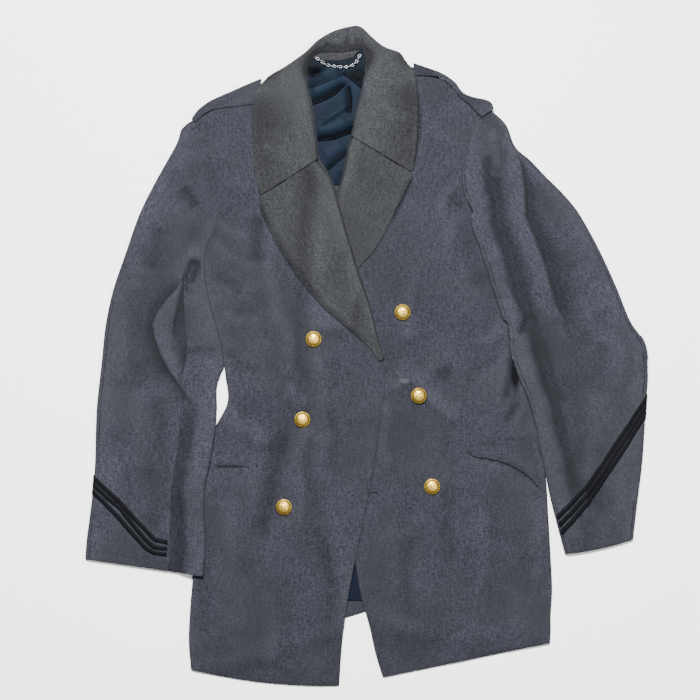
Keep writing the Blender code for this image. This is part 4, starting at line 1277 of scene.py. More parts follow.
def make_lining(spots):
    """Navy satin with fine creases, a violet turn towards the hem, strong painted shade in its folds and
    painted light on their ridges.
    """
    material, graph, shader = start_material("satin_lining", 0.55, gloss=0.015)
    cloth, place = on_cloth(graph)
    split = graph.add("ShaderNodeSeparateXYZ", {0: place})
    lower = graph.math("ADD", split.outputs[1], graph.noise(place, 30.0, 2.0))
    lower = graph.between(lower, 0.86, 0.72)
    colour = graph.mix(lower, (0.0026, 0.0050, 0.0088, 1), (0.0036, 0.0044, 0.0100, 1))
    slub = graph.noise(graph.stretch(cloth, (180.0, 1400.0, 1.0)), 1.0, 2.0)
    colour = graph.mix(graph.between(slub, 0.4, 0.65, 0.0, 0.5), colour, (0.0036, 0.0068, 0.0118, 1))
    # Painted shade in the lining's folds, painted light on their ridges, and painted shadow spots in the neck
    # corners.
    colour = add_spots(graph, add_fold_shade(graph, colour, 0.16, 1.7), place, spots)
    crease = graph.noise(graph.stretch(place, (30.0, 95.0, 1.0)), 1.0, 4.0, 1.2)
    height = graph.math("ADD", crease, graph.math("MULTIPLY", slub, 0.06))
    roughness = graph.between(slub, 0.3, 0.7, 0.42, 0.6)
    finish_material(graph, shader, colour, roughness, (0.5, 0.0012, height))
    return material


RIB_PITCH = 0.0011


def make_braid():
    """Flat woven braid: ribs across it and a slightly paler selvedge."""
    material, graph, shader = start_material("black_braid", 0.6, gloss=0.05)
    cloth = on_cloth(graph)[0]
    split = graph.add("ShaderNodeSeparateXYZ", {0: cloth})
    ribs = graph.math("SINE", graph.math("MULTIPLY", split.outputs[1], 2 * pi / RIB_PITCH))
    wear = graph.noise(cloth, 500.0, 3.0)
    shade = graph.math("ADD", graph.math("MULTIPLY", ribs, 0.25), wear)
    black, selvedge = (0.0010, 0.0011, 0.0018, 1), (0.0030, 0.0032, 0.0050, 1)
    colour = graph.mix(graph.between(shade, 0.3, 1.0), black, selvedge)
    roughness = graph.between(wear, 0.3, 0.7, 0.5, 0.72)
    finish_material(graph, shader, colour, roughness, (0.6, 0.0003, shade))
    return material


def make_metal(name, bright, dull, roughness, grain):
    """A plated metal with tarnish in patches."""
    material, graph, shader = start_material(name, roughness, metallic=1.0)
    place = graph.add("ShaderNodeTexCoord").outputs["Object"]
    patches = graph.noise(place, grain, 4.0, 0.5)
    colour = graph.mix(graph.between(patches, 0.42, 0.66), bright, dull)
    uneven = graph.between(patches, 0.3, 0.7, roughness * 0.75, roughness * 1.5)
    fine = graph.noise(place, 3500.0, 2.0)
    finish_material(graph, shader, colour, uneven, (0.3, 0.0001, fine))
    return material


BODY_YARNS = {
    "light": (0.0242, 0.0248, 0.0327, 1), "dark": (0.0106, 0.0110, 0.0149, 1),
    "faded": (0.0149, 0.0158, 0.0177, 1), "fleck": (0.0340, 0.0348, 0.0433, 1), "fading": 0.5,
}
COLLAR_YARNS = {
    "light": (0.0250, 0.0258, 0.0293, 1), "dark": (0.0111, 0.0116, 0.0129, 1),
    "faded": (0.0164, 0.0171, 0.0178, 1), "fleck": (0.0364, 0.0373, 0.0419, 1), "fading": 0.6,
}
# Painted shadow of the left strap on the back's shoulder.
SHOULDER_SHADE = ((112, 388), (26, 16), (0.004, 0.004, 0.006, 1), 0.95)
# Painted shade: a near-black spot in the left front's pinch at its side.
SIDE_PINCH_SHADE = ((211, -26), (9, 30), (0.0012, 0.0013, 0.0018, 1), 0.93)
STAIN = ((54, -35), (10, 5), (0.055, 0.056, 0.060, 1), 0.5)
# Painted shade: dark spots in the two gorge notches between the collar and the lapels.
NOTCH_SHADE_RIGHT = ((-121, 243), (20, 11), (0.0004, 0.0004, 0.0006, 1), 0.97)
NOTCH_SHADE_LEFT = ((42, 273), (18, 11), (0.0004, 0.0004, 0.0006, 1), 0.97)
# Painted shade: a dark line where the right pocket's slit opens.
POCKET_MOUTH_SHADE = ((-188, -155.6), (20, 1.9), (0.0012, 0.0013, 0.0018, 1), 0.9)
WORN_HOLE = ((-155.5, -156), (2.2, 3.2), (0.006, 0.006, 0.008, 1), 1.0)
DARK_SPECK = ((-64, -277), (1.8, 2.4), (0.010, 0.010, 0.012, 1), 0.9)
WOOL = make_wool("wool_body", **BODY_YARNS)
# Marks on the right front, with painted shade in its gorge notch and pocket slit.
RIGHT_MARKS_AND_SHADE = (WORN_HOLE, DARK_SPECK, POCKET_MOUTH_SHADE, NOTCH_SHADE_RIGHT)
WOOL_RIGHT = make_wool("wool_right_front", **BODY_YARNS, spots=RIGHT_MARKS_AND_SHADE)
WOOL_LEFT = make_wool("wool_left_front", **BODY_YARNS, spots=(STAIN, SIDE_PINCH_SHADE, NOTCH_SHADE_LEFT))
WOOL_BACK = make_wool("wool_back", **BODY_YARNS, spots=(SHOULDER_SHADE,))
COLLAR_WOOL = make_wool("wool_collar", **COLLAR_YARNS)
# Painted shadow: near-black spots on the lining in the neck's corners under the collar and the left lapel's
# end.
NECK_CORNER_SHADE = (
    ((-78, 403), (25, 13), (0.0002, 0.0002, 0.0003, 1), 0.92),
    ((-12, 398), (18, 14), (0.0002, 0.0002, 0.0003, 1), 0.88),
    ((-22, 318), (9, 6), (0.0002, 0.0002, 0.0003, 1), 0.85),
)
SATIN = make_lining(NECK_CORNER_SHADE)
BRAID = make_braid()
GILT = make_metal("gilt_brass", (0.42, 0.29, 0.055, 1), (0.15, 0.09, 0.014, 1), 0.42, 420.0)
STEEL = make_metal("plated_steel", (0.34, 0.35, 0.37, 1), (0.07, 0.07, 0.08, 1), 0.34, 900.0)
print("materials:", len(bpy.data.materials))

# %% [markdown]
# ## Fronts and backs
#
# Two fronts lie on two backs. The fronts are drawn in fine rows and columns so
# that a fold a few millimetres wide stays smooth. The main folds are the ones the
# solids have. Smaller creases are added here in the same way, as lines with a
# height and a width on each side, more on a loose side than on a pressed one.
# They have uneven lengths, depths and gaps, because even folds look combed.

# %% Fronts and backs
ROW_STEPS = 8
COLUMN_STEPS = 6

# Small creases. Columns as the folds: height, width on the left, on the right, points.
CREASES_FRONT_RIGHT = (
    (-2.4, 5.0, 2.4, (
        (-150, 222), (-148, 204), (-136, 180), (-114, 138), (-93, 108), (-62, 71), (-38, 50), (4, 13))),
    (-1.8, 4.0, 1.6, ((-160, 350), (-160, 300), (-155, 262), (-150, 228))),
    (1.3, 5, 10, ((-214, 196), (-196, 178), (-168, 170))),
    (1.0, 6, 10, ((-218, 168), (-196, 142), (-170, 128), (-150, 130))),
    (-1.0, 6, 8, ((-216, 118), (-190, 104), (-176, 84))),
    (1.5, 7, 16, ((-206, 62), (-180, 50), (-150, 52))),
    (-1.2, 7, 10, ((-200, 10), (-176, -14), (-150, -20))),
    (-0.6, 8, 14, ((-146, 230), (-155, 165), (-150, 100))),
    (1.6, 10, 14, ((-136, 190), (-140, 140), (-132, 90), (-126, 40))),
    (1.6, 8, 14, ((-120, 60), (-108, 20), (-112, -30))),
    (1.4, 9, 14, ((-78, 12), (-64, -22), (-60, -70))),
    (-1.2, 8, 12, ((-50, -70), (-44, -120), (-52, -170))),
    (1.6, 5, 12, ((-196, -70), (-182, -97), (-161, -94), (-140, -129))),
    (-0.8, 8, 20, ((-106, -90), (-128, -148), (-138, -208), (-158, -290))),
    (-2.0, 1.2, 1.8, ((-220, -155.2), (-195, -155.8), (-168, -154.4))),
    (-0.9, 1.2, 1.2, ((-217, -135), (-194, -142), (-176, -147), (-167, -153))),
    (1.8, 9, 18, ((-86, -96), (-98, -150), (-92, -200), (-100, -252))),
    (1.6, 12, 18, ((-190, -190), (-196, -250), (-188, -320))),
    (-1.4, 12, 16, ((-226, -230), (-232, -300), (-228, -380))),
    (1.3, 9, 15, ((-140, -330), (-132, -390), (-136, -440))),
    (-1.1, 10, 13, ((-60, -260), (-50, -330), (-56, -400))),
    (0.9, 8, 9, ((-190, 250), (-166, 238))),
    (1.4, 7, 14, ((-114, -41), (-96, -58), (-80, -62))),
    (1.1, 6, 12, ((-96, -96), (-70, -112), (-40, -108))),
    (-1.2, 6, 9, ((-176, -120), (-150, -132), (-128, -128))),
)
CREASES_FRONT_LEFT = (
    (-2.6, 2.0, 5.0, ((66, 400), (74, 363), (76, 320), (70, 285), (65, 262))),
    (-2.2, 2.0, 3.5, ((66, 254), (54, 226), (36, 190))),
    (1.4, 5, 10, ((134, 250), (110, 226), (104, 190))),
    (1.2, 7, 13, ((140, 210), (118, 170), (112, 130))),
    (-0.6, 10, 14, ((122, 250), (138, 190), (156, 146), (172, 80))),
    (1.6, 8, 15, ((196, 40), (172, 20), (150, 22))),
    (-1.2, 7, 10, ((190, 0), (160, -18), (140, -40))),
    (1.5, 8, 15, ((70, 120), (58, 70), (64, 20))),
    (1.4, 8, 14, ((66, -10), (40, -40), (6, -46))),
    (-1.6, 6, 11, ((96, -24), (108, -27), (121, -16))),
    (1.8, 6, 14, ((136, -84), (118, -86), (92, -62), (58, -22))),
    (1.4, 9, 14, ((30, -60), (22, -110), (30, -160))),
    (-1.4, 10, 14, ((120, -180), (112, -240), (120, -300))),
    (1.6, 11, 16, ((160, -210), (166, -280), (158, -350))),
    (-1.3, 10, 14, ((60, -250), (54, -310), (62, -380))),
    (1.3, 9, 14, ((240, -200), (246, -260), (240, -330))),
    (1.1, 8, 11, ((84, -220), (60, -250), (30, -256))),
    (-0.8, 8, 12, ((126, -380), (134, -404), (150, -440))),
    (-1.1, 1.2, 1.2, ((141, -129), (175, -124), (211, -116), (240, -112))),
    (-2.2, 7, 1.6, (
        (142, -134), (153, -142), (169, -146), (188, -150),
        (206, -157), (221, -167), (233, -176), (243, -187))),
    (0.9, 7, 9, ((90, 330), (104, 312), (122, 306))),
    (-2.6, 3, 8, ((206, 0), (205, -30), (198, -62))),
    (-1.5, 7, 7, ((214, -64), (206, -84), (200, -96))),
    (1.8, 6, 6, ((226, -70), (214, -84), (204, -100))),
)


def rumple(x, y, seed, height=0.35, size=0.022):
    """A low uneven swell over a piece, from smooth noise with a fixed seed."""
    values = np.zeros(len(x))
    for share, fineness in ((1.0, size), (0.5, size * 2.3)):
        values += [share * noise.noise((px * fineness, py * fineness, seed)) for px, py in zip(x, y)]
    return height * values


def dressed_right(x, y):
    """Height of the dressed right front: the solid's folds with creases and swell."""
    return right_front_top(x, y) + fold_height(x, y, CREASES_FRONT_RIGHT) + rumple(x, y, 3.1)


def dressed_left(x, y):
    return left_front_top(x, y) + fold_height(x, y, CREASES_FRONT_LEFT) + rumple(x, y, 7.7)


across = spread(PANEL_SHARES, COLUMN_STEPS)
right_grid = front_grid(FRONT_RIGHT, across, dressed_right, ROW_STEPS)
left_grid = front_grid(FRONT_LEFT, across, dressed_left, ROW_STEPS)
right_ground, left_ground = Surface(right_grid), Surface(left_grid)
FRONT_RIMS, FRONT_FREE = (0, 1, 1, 1), (0, 1, 0, 1)
SHOULDER_EDGE, SHOULDER_REACH, SHOULDER_SHIFT = (109, 386), 32, (2.8, 4.2)
away = np.hypot(left_grid[..., 0] - SHOULDER_EDGE[0], left_grid[..., 1] - SHOULDER_EDGE[1])
left_grid[..., :2] += smooth(1 - away / SHOULDER_REACH)[..., None] * np.array(SHOULDER_SHIFT)
front_right = shell("coat_front_right", right_grid, WOOL_RIGHT, CLOTH, FRONT_RIMS, FRONT_FREE)
front_left = shell("coat_front_left", left_grid, WOOL_LEFT, CLOTH, FRONT_RIMS, FRONT_FREE)
settle(front_right, "wool", "front_right")
settle(front_left, "wool", "front_left")
cut(front_right, right_grid)
cut(front_left, left_grid)
back_shares = np.linspace(0, 1, 41)
backs = {}
for side, rows, shoulder in (
    ("right", FRONT_RIGHT, BACK_TOP_RIGHT), ("left", FRONT_LEFT, BACK_TOP_LEFT),
):
    points = back_grid(rows, shoulder, back_shares, 4)
    backs[side] = shell(f"coat_back_{side}", points, WOOL_BACK, CLOTH, (0, 0.6, 0, 0), (0, 1, 0, 0))
    settle(backs[side], "wool", f"back_{side}")
    cut(backs[side], points)
print("fronts:", [len(piece.data.vertices) for piece in (front_right, front_left)], "points")

# %% [markdown]
# ## Lining
#
# Where the fronts part, the navy satin of the back shows. It is thin and slack,
# so its folds are narrow and sharp, and most rise towards the wearer's left. Two
# strips are enough: one in the neck and one above the hem.

# %% Lining
NECK_SLACK = 3.2
CREASES_NECK = (
    (-1.6, 9, 1.0, ((-84, 379), (-58, 389), (-30, 400))),
    (1.6, 5, 9, ((-78, 395), (-58, 405), (-40, 414))),
    (-2.2, 12, 1.0, ((-84, 354), (-60, 363), (-44, 372), (-28, 387))),
    (1.5, 10, 6, ((-76, 372), (-56, 382), (-34, 394))),
    (-0.9, 3.5, 0.8, ((-66, 324), (-45, 337), (-24, 352))),
    (0.8, 2, 6, ((-62, 335), (-44, 345), (-28, 356))),
    (-2.6, 9, 1.0, ((-74, 305), (-46, 308), (-30, 315), (-14, 326))),
    (1.3, 7, 8, ((-70, 320), (-46, 326), (-30, 334))),
    (-1.6, 7, 0.9, ((-56, 262), (-40, 277), (-26, 293))),
    (-1.8, 1.2, 7, ((-26, 385), (-23.5, 364), (-25.5, 343))),
    (-1.8, 8, 1.0, ((-35, 402), (-20, 390), (-6, 377))),
    (-1.2, 1, 5, ((-34, 262), (-41, 240), (-38, 225))),
    (1.0, 8, 6, ((-60, 285), (-48, 290), (-36, 300))),
)
neck_grid = lining_grid(NECK_LINING, np.linspace(0, 1, 73), (), 14)
neck_grid[..., 2] += np.maximum(
    NECK_SLACK * smooth((416 - neck_grid[..., 1]) / 22)
    + fold_height(neck_grid[..., 0], neck_grid[..., 1], CREASES_NECK), 0)
neck_grid = np.concatenate([neck_grid[:1] + np.array((0, 6, 0)), neck_grid])
neck_share = np.linspace(0, 1, neck_grid.shape[1])
if neck_grid[0, 0, 0] > neck_grid[0, -1, 0]:
    neck_share = neck_share[::-1]
neck_hidden = 3 + 8 * smooth((neck_grid[..., 1] - 385) / 25)
neck_grid[..., 0] += neck_hidden * smooth((neck_share - 0.55) / 0.45)
neck_lining = shell("coat_neck_lining", neck_grid, SATIN, LINING, (0, 0, 0, 0))
cut(neck_lining, neck_grid)
hem_grid = lining_grid(HEM_LINING, np.linspace(0, 1, 25), (), 8)
hem_lining = shell("coat_hem_lining", hem_grid, SATIN, LINING, (0, 0.5, 0, 0))
cut(hem_lining, hem_grid)
settle(neck_lining, "lining", "neck_lining")
settle(hem_lining, "lining", "hem_lining")
print("lining folds:", len(CREASES_NECK))

# %% [markdown]
# ## Collar and lapels
#
# A tailored collar stands up at the neck, rolls over and falls to a rounded edge.
# Its sections run from the neck to that edge, all round, so the roll swells and
# sinks smoothly and turns under at the back of the neck. The lapels roll round
# the fronts' edges and lie down flat, thick at the roll and thin at the edge.

# %% Collar and lapels
CREASES_COLLAR = (
    (-1.8, 4, 2.5, ((-60, 452), (-57, 444), (-57, 436))),
    (-2.4, 3, 2.5, ((-29, 466), (-28, 456), (-28, 442))),
    (-2.0, 2.5, 2.5, ((-16, 464), (-15, 455), (-14, 444))),
    (-1.6, 2.5, 3, ((-7, 460), (-7, 452), (-6, 443))),
    (1.2, 5, 5, ((-44, 462), (-42, 452), (-41, 440))),
    (-1.0, 3, 4, ((-40, 448), (-38, 462))),
    (-0.9, 3, 3, ((-30, 440), (-27, 464))),
    (0.8, 4, 4, ((-20, 438), (-15, 462))),
    (-0.8, 3, 4, ((-54, 436), (-52, 452))),
    (-0.7, 4, 5, ((-146, 330), (-120, 322), (-100, 336))),
    (0.7, 6, 8, ((-150, 300), (-120, 288), (-96, 296))),
    (0.7, 6, 8, ((20, 360), (40, 340), (60, 336))),
)


def ruffled(grid, folds, seed, height=0.25):
    """The grid with creases and swell added to its height, fading towards the floor."""
    result = grid.copy()
    for row in result:
        x, y, z = row.T
        row[:, 2] += (fold_height(x, y, folds) + rumple(x, y, seed, height)) * smooth(z / 8.0)
    return result


SEAM_ROLL, GORGE_NOTCH, GORGE_REACH = 1.5, 2.3, 14


def closed_gorge(lapel, collar_grid_points):
    """The lapel with its top edge drawn up to the collar's end, and a notch near its tip."""
    ends = [collar_grid_points[0], collar_grid_points[-1]]
    gorge = lapel[0, 3:, :2]
    middle = gorge.mean(axis=0)
    end = min(ends, key=lambda line: np.hypot(*(line[:, :2].mean(axis=0) - middle)))
    line = refine(end, 3)[:, :2]
    gaps = line[None] - gorge[:, None]
    distance = np.hypot(gaps[..., 0], gaps[..., 1])
    nearest = distance.argmin(axis=1)
    down = lapel[6, 3:, :2] - gorge
    down /= np.hypot(*down.T)[:, None]
    opened = SEAM_ROLL + GORGE_NOTCH * smooth((np.linspace(0, 1, len(gorge)) - 0.50) / 0.10)
    offset = gaps[np.arange(len(gorge)), nearest] + down * opened[:, None]
    result = lapel.copy()
    for row in result:
        away = np.hypot(*(row[3:, :2] - gorge).T)
        row[3:, :2] += offset * smooth(1 - away / GORGE_REACH)[:, None]
    return result


collar_points = ruffled(collar_grid(COLLAR, 6), CREASES_COLLAR, 12.3)
collar = shell("coat_collar", collar_points, COLLAR_WOOL, CLOTH, (1, 1, 0.5, 1), (0, 0, 0, 1))
neck_band = shell("coat_neck_band", band_grid(6), COLLAR_WOOL, POCKET_CLOTH, (0, 0, 0, 0.5))
lapel_shares = spread(LAPEL_SHARES, 5)
lapels = []
lapel_grids = {}
for side, rows, ground, pressed in (
    ("right", LAPEL_RIGHT, right_ground, -100), ("left", LAPEL_LEFT, left_ground, 225),
):
    points = closed_gorge(lapel_grid(rows, lapel_shares, ground, pressed, 9), collar_points)
    lapel = shell(f"coat_lapel_{side}", points, COLLAR_WOOL, CLOTH, (1, 0.4, 0, 1), (0, 0, 0, 1))
    settle(lapel, "collar_wool", f"lapel_{side}")
    lapels.append(lapel)
    lapel_grids[side] = points
    cut(lapel, points)
settle(collar, "collar_wool", "collar")
cut(collar, collar_points)
cut(neck_band, band_grid(6))
settle(neck_band, "collar_wool", "neck_band")
print("collar and lapels:", [len(piece.data.vertices) for piece in (collar, *lapels)], "points")

# %% [markdown]
# ## Sleeves and braid
#
# Each sleeve is a flattened tube in a top and an under piece. A section is a
# flat oval ring between the inner and the outer edge, and the pieces meet at two
# seams. The deep tuck of each sleeve is steep on one side only, which is what
# makes it read as cloth folded over itself. The braid is made from the sleeve's
# own points moved out, so it bends over the outer fold with the sleeve.

# %% Sleeves and braid
CREASES_SLEEVE_RIGHT = (
    (-7.5, 26, 4, ((-265, 94), (-293, 65), (-302, 45), (-296, 18), (-285, -9), (-266, -41))),
    (9.5, 24, 1.8, (
        (-262, 102), (-280, 82), (-295, 62), (-302, 45), (-299, 24), (-290, 0), (-277, -24), (-262, -44))),
    (-0.7, 1.3, 1.3, ((-262, -70), (-264, -148), (-268, -183), (-272, -219), (-278, -248), (-283, -289))),
    (-4.2, 12, 3, ((-247, 142), (-254, 116), (-262, 86), (-268, 54), (-272, 30))),
    (-3.5, 10, 4, ((-247, 138), (-250, 118), (-254, 104))),
    (-0.5, 7, 9, ((-262, 244), (-248, 222), (-232, 204))),
    (1.8, 8, 12, ((-266, 294), (-278, 268), (-296, 244))),
    (1.8, 10, 14, ((-334, 150), (-331, 118), (-326, 92))),
    (-2.2, 16, 14, ((-292, 184), (-300, 150), (-304, 118))),
    (1.8, 8, 14, ((-232, 150), (-250, 136), (-270, 108))),
    (-1.4, 5, 8, ((-260, 6), (-240, 9), (-214, 8))),
    (-1.6, 10, 14, ((-250, 0), (-262, -30), (-264, -70))),
    (1.8, 12, 18, ((-350, 60), (-352, 10), (-346, -40))),
    (-1.5, 11, 14, ((-300, -60), (-290, -100), (-294, -140))),
    (1.4, 10, 15, ((-240, -110), (-256, -150), (-258, -210))),
    (1.5, 12, 16, ((-360, -140), (-352, -200), (-358, -260))),
    (-1.2, 10, 14, ((-310, -150), (-302, -210), (-306, -250))),
    (1.2, 10, 14, ((-280, -220), (-276, -270), (-282, -300))),
)
CREASES_SLEEVE_LEFT = (
    (3.2, 2.6, 16, ((213, 289), (221, 238), (224, 200))),
    (2.2, 8, 24, ((228, 186), (243, 150), (256, 104), (270, 74))),
    (-2.4, 6, 7, ((184, 272), (184, 240), (184, 214))),
    (1.6, 5, 8, ((180, 324), (184, 304))),
    (1.6, 8, 13, ((160, 200), (176, 160), (196, 130))),
    (-1.6, 12, 12, ((140, 236), (128, 226), (132, 180))),
    (1.5, 10, 15, ((236, 226), (262, 180), (290, 150))),
    (-1.5, 9, 12, ((190, 110), (216, 84), (232, 60))),
    (-2.2, 5, 9, ((240, 57), (228, 44), (214, 30))),
    (1.7, 10, 16, ((300, 90), (316, 50), (340, 20))),
    (-1.4, 10, 13, ((240, 20), (256, -20), (262, -60))),
    (1.5, 11, 15, ((350, 40), (360, 0), (352, -50))),
    (1.3, 11, 15, ((280, -60), (290, -110), (286, -160))),
    (-1.3, 10, 13, ((330, -120), (326, -180), (334, -230))),
    (1.4, 11, 15, ((370, -120), (362, -180), (366, -230))),
    (1.3, 9, 13, ((300, -190), (306, -230), (304, -262))),
)


SEWN_GAP = 0.12


class DressedSleeve(Sleeve):
    """A sleeve in fine rows with small creases and swell on its top."""

    def __init__(self, rows, folds, seed, steps):
        self.seed = seed
        super().__init__(rows, folds, steps)

    def ring(self, row, places):
        points = super().ring(row, places)
        lift = smooth((points[:, 2] - 4.0) / 4.0)
        points[:, 2] += rumple(points[:, 0], points[:, 1], self.seed, 0.45) * lift
        return points


def fine_places(start, end, steps):
    """The places from one seam to the other with steps between each pair."""
    coarse = np.array(sleeve_places(start, end), float)
    coarse[0, 1], coarse[-1, 1] = SEWN_GAP, -SEWN_GAP
    order = coarse[:, 0] + coarse[:, 1] / USUAL_WIDTH
    places = [tuple(coarse[0])]
    for index in range(1, len(coarse)):
        before, gap = order[index - 1], order[index] - order[index - 1]
        places += [(before + gap * (step / steps), 0.0) for step in range(1, steps)]
        places.append(tuple(coarse[index]))
    return places


def sewn(grid, edge, seam, outward, lowest, reach=26.0, gap=-1.3):
    """The grid with its edge drawn up to a seam line, fading with distance from the edge."""
    gaps = seam[None] - edge[:, None]
    nearest = np.hypot(gaps[..., 0], gaps[..., 1]).argmin(axis=1)
    offset = seam[nearest] + gap * outward[nearest] - edge
    offset *= (smooth((7.0 - np.hypot(*offset.T)) / 2.0) * smooth((edge[:, 1] - lowest) / 24))[:, None]
    result = grid.copy()
    for row in result:
        away = np.hypot(row[:, None, 0] - edge[None, :, 0], row[:, None, 1] - edge[None, :, 1])
        row[:, :2] += offset[away.argmin(axis=1)] * smooth(1 - away.min(axis=1) / reach)[:, None]
    return result


def armhole(front, lowest):
    """A front's side line down to a height, with unit directions out of the panel."""
    line = front[:, 0, :2]
    away = line - front[:, 3, :2]
    away /= np.hypot(*away.T)[:, None]
    keep = line[:, 1] > lowest
    return line[keep], away[keep]


def sleeve_edge(sleeve, lowest):
    """The sleeve's head and the upper part of its inner edge, in plan."""
    first = sleeve.rows[0]
    head = row_points(first[0:2], first[2:4], first[4], np.linspace(0, 1, 60))
    inner = refine(sleeve.rows[:, 0:2], 2)
    return np.concatenate([head, inner[inner[:, 1] > lowest]])


def draw_up(panel, column, line):
    """Brings one side of a panel up to a line, point for point."""
    gap = line - panel[:, column]
    length = np.linalg.norm(gap, axis=1)
    panel[:, column] += gap * np.clip(1 - SEWN_GAP / np.maximum(length, 1e-6), 0, 1)[:, None]


SEWN_TO = {"right": -30, "left": -125}
SLEEVE_STEPS = 12
sleeves = {}
for side, rows, folds, seam, braid, seed in (
    ("right", SLEEVE_RIGHT, FOLDS_SLEEVE_RIGHT + CREASES_SLEEVE_RIGHT, SEAM_RIGHT, BRAID_RIGHT, 21.0),
    ("left", SLEEVE_LEFT, FOLDS_SLEEVE_LEFT + CREASES_SLEEVE_LEFT, SEAM_LEFT, BRAID_LEFT, 27.0),
):
    sleeve = DressedSleeve(rows, folds, seed, SLEEVE_STEPS)
    lowest = SEWN_TO[side]
    seam_line, outward = armhole({"right": right_grid, "left": left_grid}[side], lowest - 20)
    edge = sleeve_edge(sleeve, lowest)
    top = sleeve.grid(fine_places(seam[0], seam[1], 10))
    top = sewn(top, edge, seam_line, outward, lowest)
    under = sleeve.grid(fine_places(seam[1], seam[0] + 2, 4))
    under = sewn(under, edge, seam_line, outward, lowest)
    draw_up(under, -1, top[:, 0])
    draw_up(under, 0, top[:, -1])
    for part, grid, head_rim in (("top", top, 1), ("under", under, 0.3)):
        sleeves[side, part] = shell(f"coat_sleeve_{side}_{part}", grid, WOOL, CLOTH,
                                    (head_rim, 1, 0, 0), (0, 1, 0, 0), up_facing(top))
        settle(sleeves[side, part], "wool", f"sleeve_{side}_{part}")
    cut(sleeves[side, "under"], under)
    for number in (1, 2, 3):
        points = braid_grid(sleeve, braid, number)
        strip = shell(f"coat_braid_{side}_{number}", points, BRAID, BRAID_THICK, (0.5, 0.5, 0.6, 0.6))
        settle(strip, "braid", f"braid_{side}_{number}")
    cut(sleeves[side, "top"], top)
print("sleeves:", {key: len(piece.data.vertices) for key, piece in sleeves.items()})

# %% [markdown]
# ## Shoulder straps and pockets
#
# The straps are sewn in at the sleeve head and buttoned under the collar, and
# they turn down over the shoulder's edge here because the coat lies flat. The
# left pocket keeps its flap, a little lifted. The right one has its flap tucked
# in, so that only its welt and a slit show; the slit's dark is painted shade on the
# right front.

# %% Shoulder straps and pockets
strap_shares = np.linspace(0, 1, 19)
trim = {}
strap_grids = {}
for side, rows, ground in (("right", STRAP_RIGHT, right_ground), ("left", STRAP_LEFT, left_ground)):
    name = f"strap_{side}"
    points = strap_grid(rows, strap_shares, ground, 8)
    strap_grids[side] = points
    strap = shell(f"coat_{name}", points, WOOL, STRAP_CLOTH, (0.5, 0.2, 0, 1), (1, 0, 1, 1))
    trim[name] = settle(strap, "wool", name)
    cut(strap, points)
for name, rows, ground, lift in (
    ("pocket_flap", POCKET_FLAP, left_ground, 2.2), ("pocket_welt", POCKET_WELT, right_ground, 0.6),
):
    points = pocket_grid(rows, np.linspace(0, 1, 19), ground, lift, 7)
    if name == "pocket_flap":
        flap_grid = points
    piece = shell(f"coat_{name}", points, WOOL, POCKET_CLOTH, (0.6, 0.6, 0.2, 1), free=(1, 1, 0, 1))
    trim[name] = settle(piece, "wool", name)
    cut(piece, points)
print("trim:", sorted(trim))

# %% [markdown]
# ## Buttons
#
# A gilt coat button is a domed cap over a disc with a twisted rim. The dome and
# disc are one turned outline. The twist of the rim, the beads and the petals of
# the rosette repeat round the middle, so Geometry Nodes puts one small shape on
# points round circles, each turned to face outwards, and joins them to the dome.
# The rosette is a plain generic design.

# %% Buttons
DOME_RADIUS = 0.80 * BUTTON_DIAMETER / 2
RIM_RADIUS = 0.89 * BUTTON_DIAMETER / 2
ROPE_TURNS = 34
PETALS = 8
BEADS = 24


def dome_height(radius):
    """Height of the dome above the cloth at a distance from its middle."""
    return 3.2 + (BUTTON_HEIGHT - 3.9) * np.sqrt(np.maximum(1 - (radius / (DOME_RADIUS * 1.04)) ** 2, 0))


def turned(profile, sides=72):
    """Points and faces of an outline turned round Z, from its lowest point to its highest."""
    angles = np.linspace(0, 2 * pi, sides, endpoint=False)
    points = [(0.0, 0.0, profile[0][1])]
    for radius, height in profile[1:-1]:
        points += [(radius * cos(angle), radius * sin(angle), height) for angle in angles]
    points.append((0.0, 0.0, profile[-1][1]))
    faces = []
    rings = len(profile) - 2
    for side in range(sides):
        beyond = (side + 1) % sides
        faces.append((0, 1 + beyond, 1 + side))
        for ring in range(rings - 1):
            start = 1 + ring * sides
            faces.append((start + side, start + beyond, start + sides + beyond, start + sides + side))
        start = 1 + (rings - 1) * sides
        faces.append((start + side, start + beyond, len(points) - 1))
    return points, faces


def small_grain(name, size):
    """A rounded grain of a given length, width and height, for instancing."""
    grain = bmesh.new()
    bmesh.ops.create_icosphere(grain, subdivisions=2, radius=0.5)
    bmesh.ops.scale(grain, vec=[side * MM for side in size], verts=grain.verts)
    mesh = bpy.data.meshes.new(name)
    grain.to_mesh(mesh)
    grain.free()
    mesh.shade_smooth()
    return bpy.data.objects.new(name, mesh)


SHAPE, OBJECT, MATERIAL = "NodeSocketGeometry", "NodeSocketObject", "NodeSocketMaterial"


def start_shape_group(name, inputs):
    """A Geometry Nodes group with typed inputs: its graph and the outputs of its input node."""
    tree = bpy.data.node_groups.new(name, "GeometryNodeTree")
    for socket_name, kind in inputs:
        tree.interface.new_socket(socket_name, in_out="INPUT", socket_type=kind)
    tree.interface.new_socket("Geometry", in_out="OUTPUT", socket_type=SHAPE)
    graph = Graph(tree)
    return graph, graph.add("NodeGroupInput").outputs


def vector_of(graph, **parts):
    return graph.add("ShaderNodeCombineXYZ", {name.upper(): value for name, value in parts.items()}).outputs[0]


def turned_by(graph, rotation, angles):
    """A rotation turned further about its own axes."""
    inputs = {0: rotation, 1: angles}
    return graph.add("FunctionNodeRotateRotation", inputs, rotation_space="LOCAL").outputs[0]


def set_on_points(graph, points, grain, rotation):
    """The grain object at each point."""
    shape = graph.add("GeometryNodeObjectInfo", {"Object": grain}).outputs["Geometry"]
    inputs = {"Points": points, "Instance": shape, "Rotation": rotation}
    return graph.add("GeometryNodeInstanceOnPoints", inputs).outputs[0]


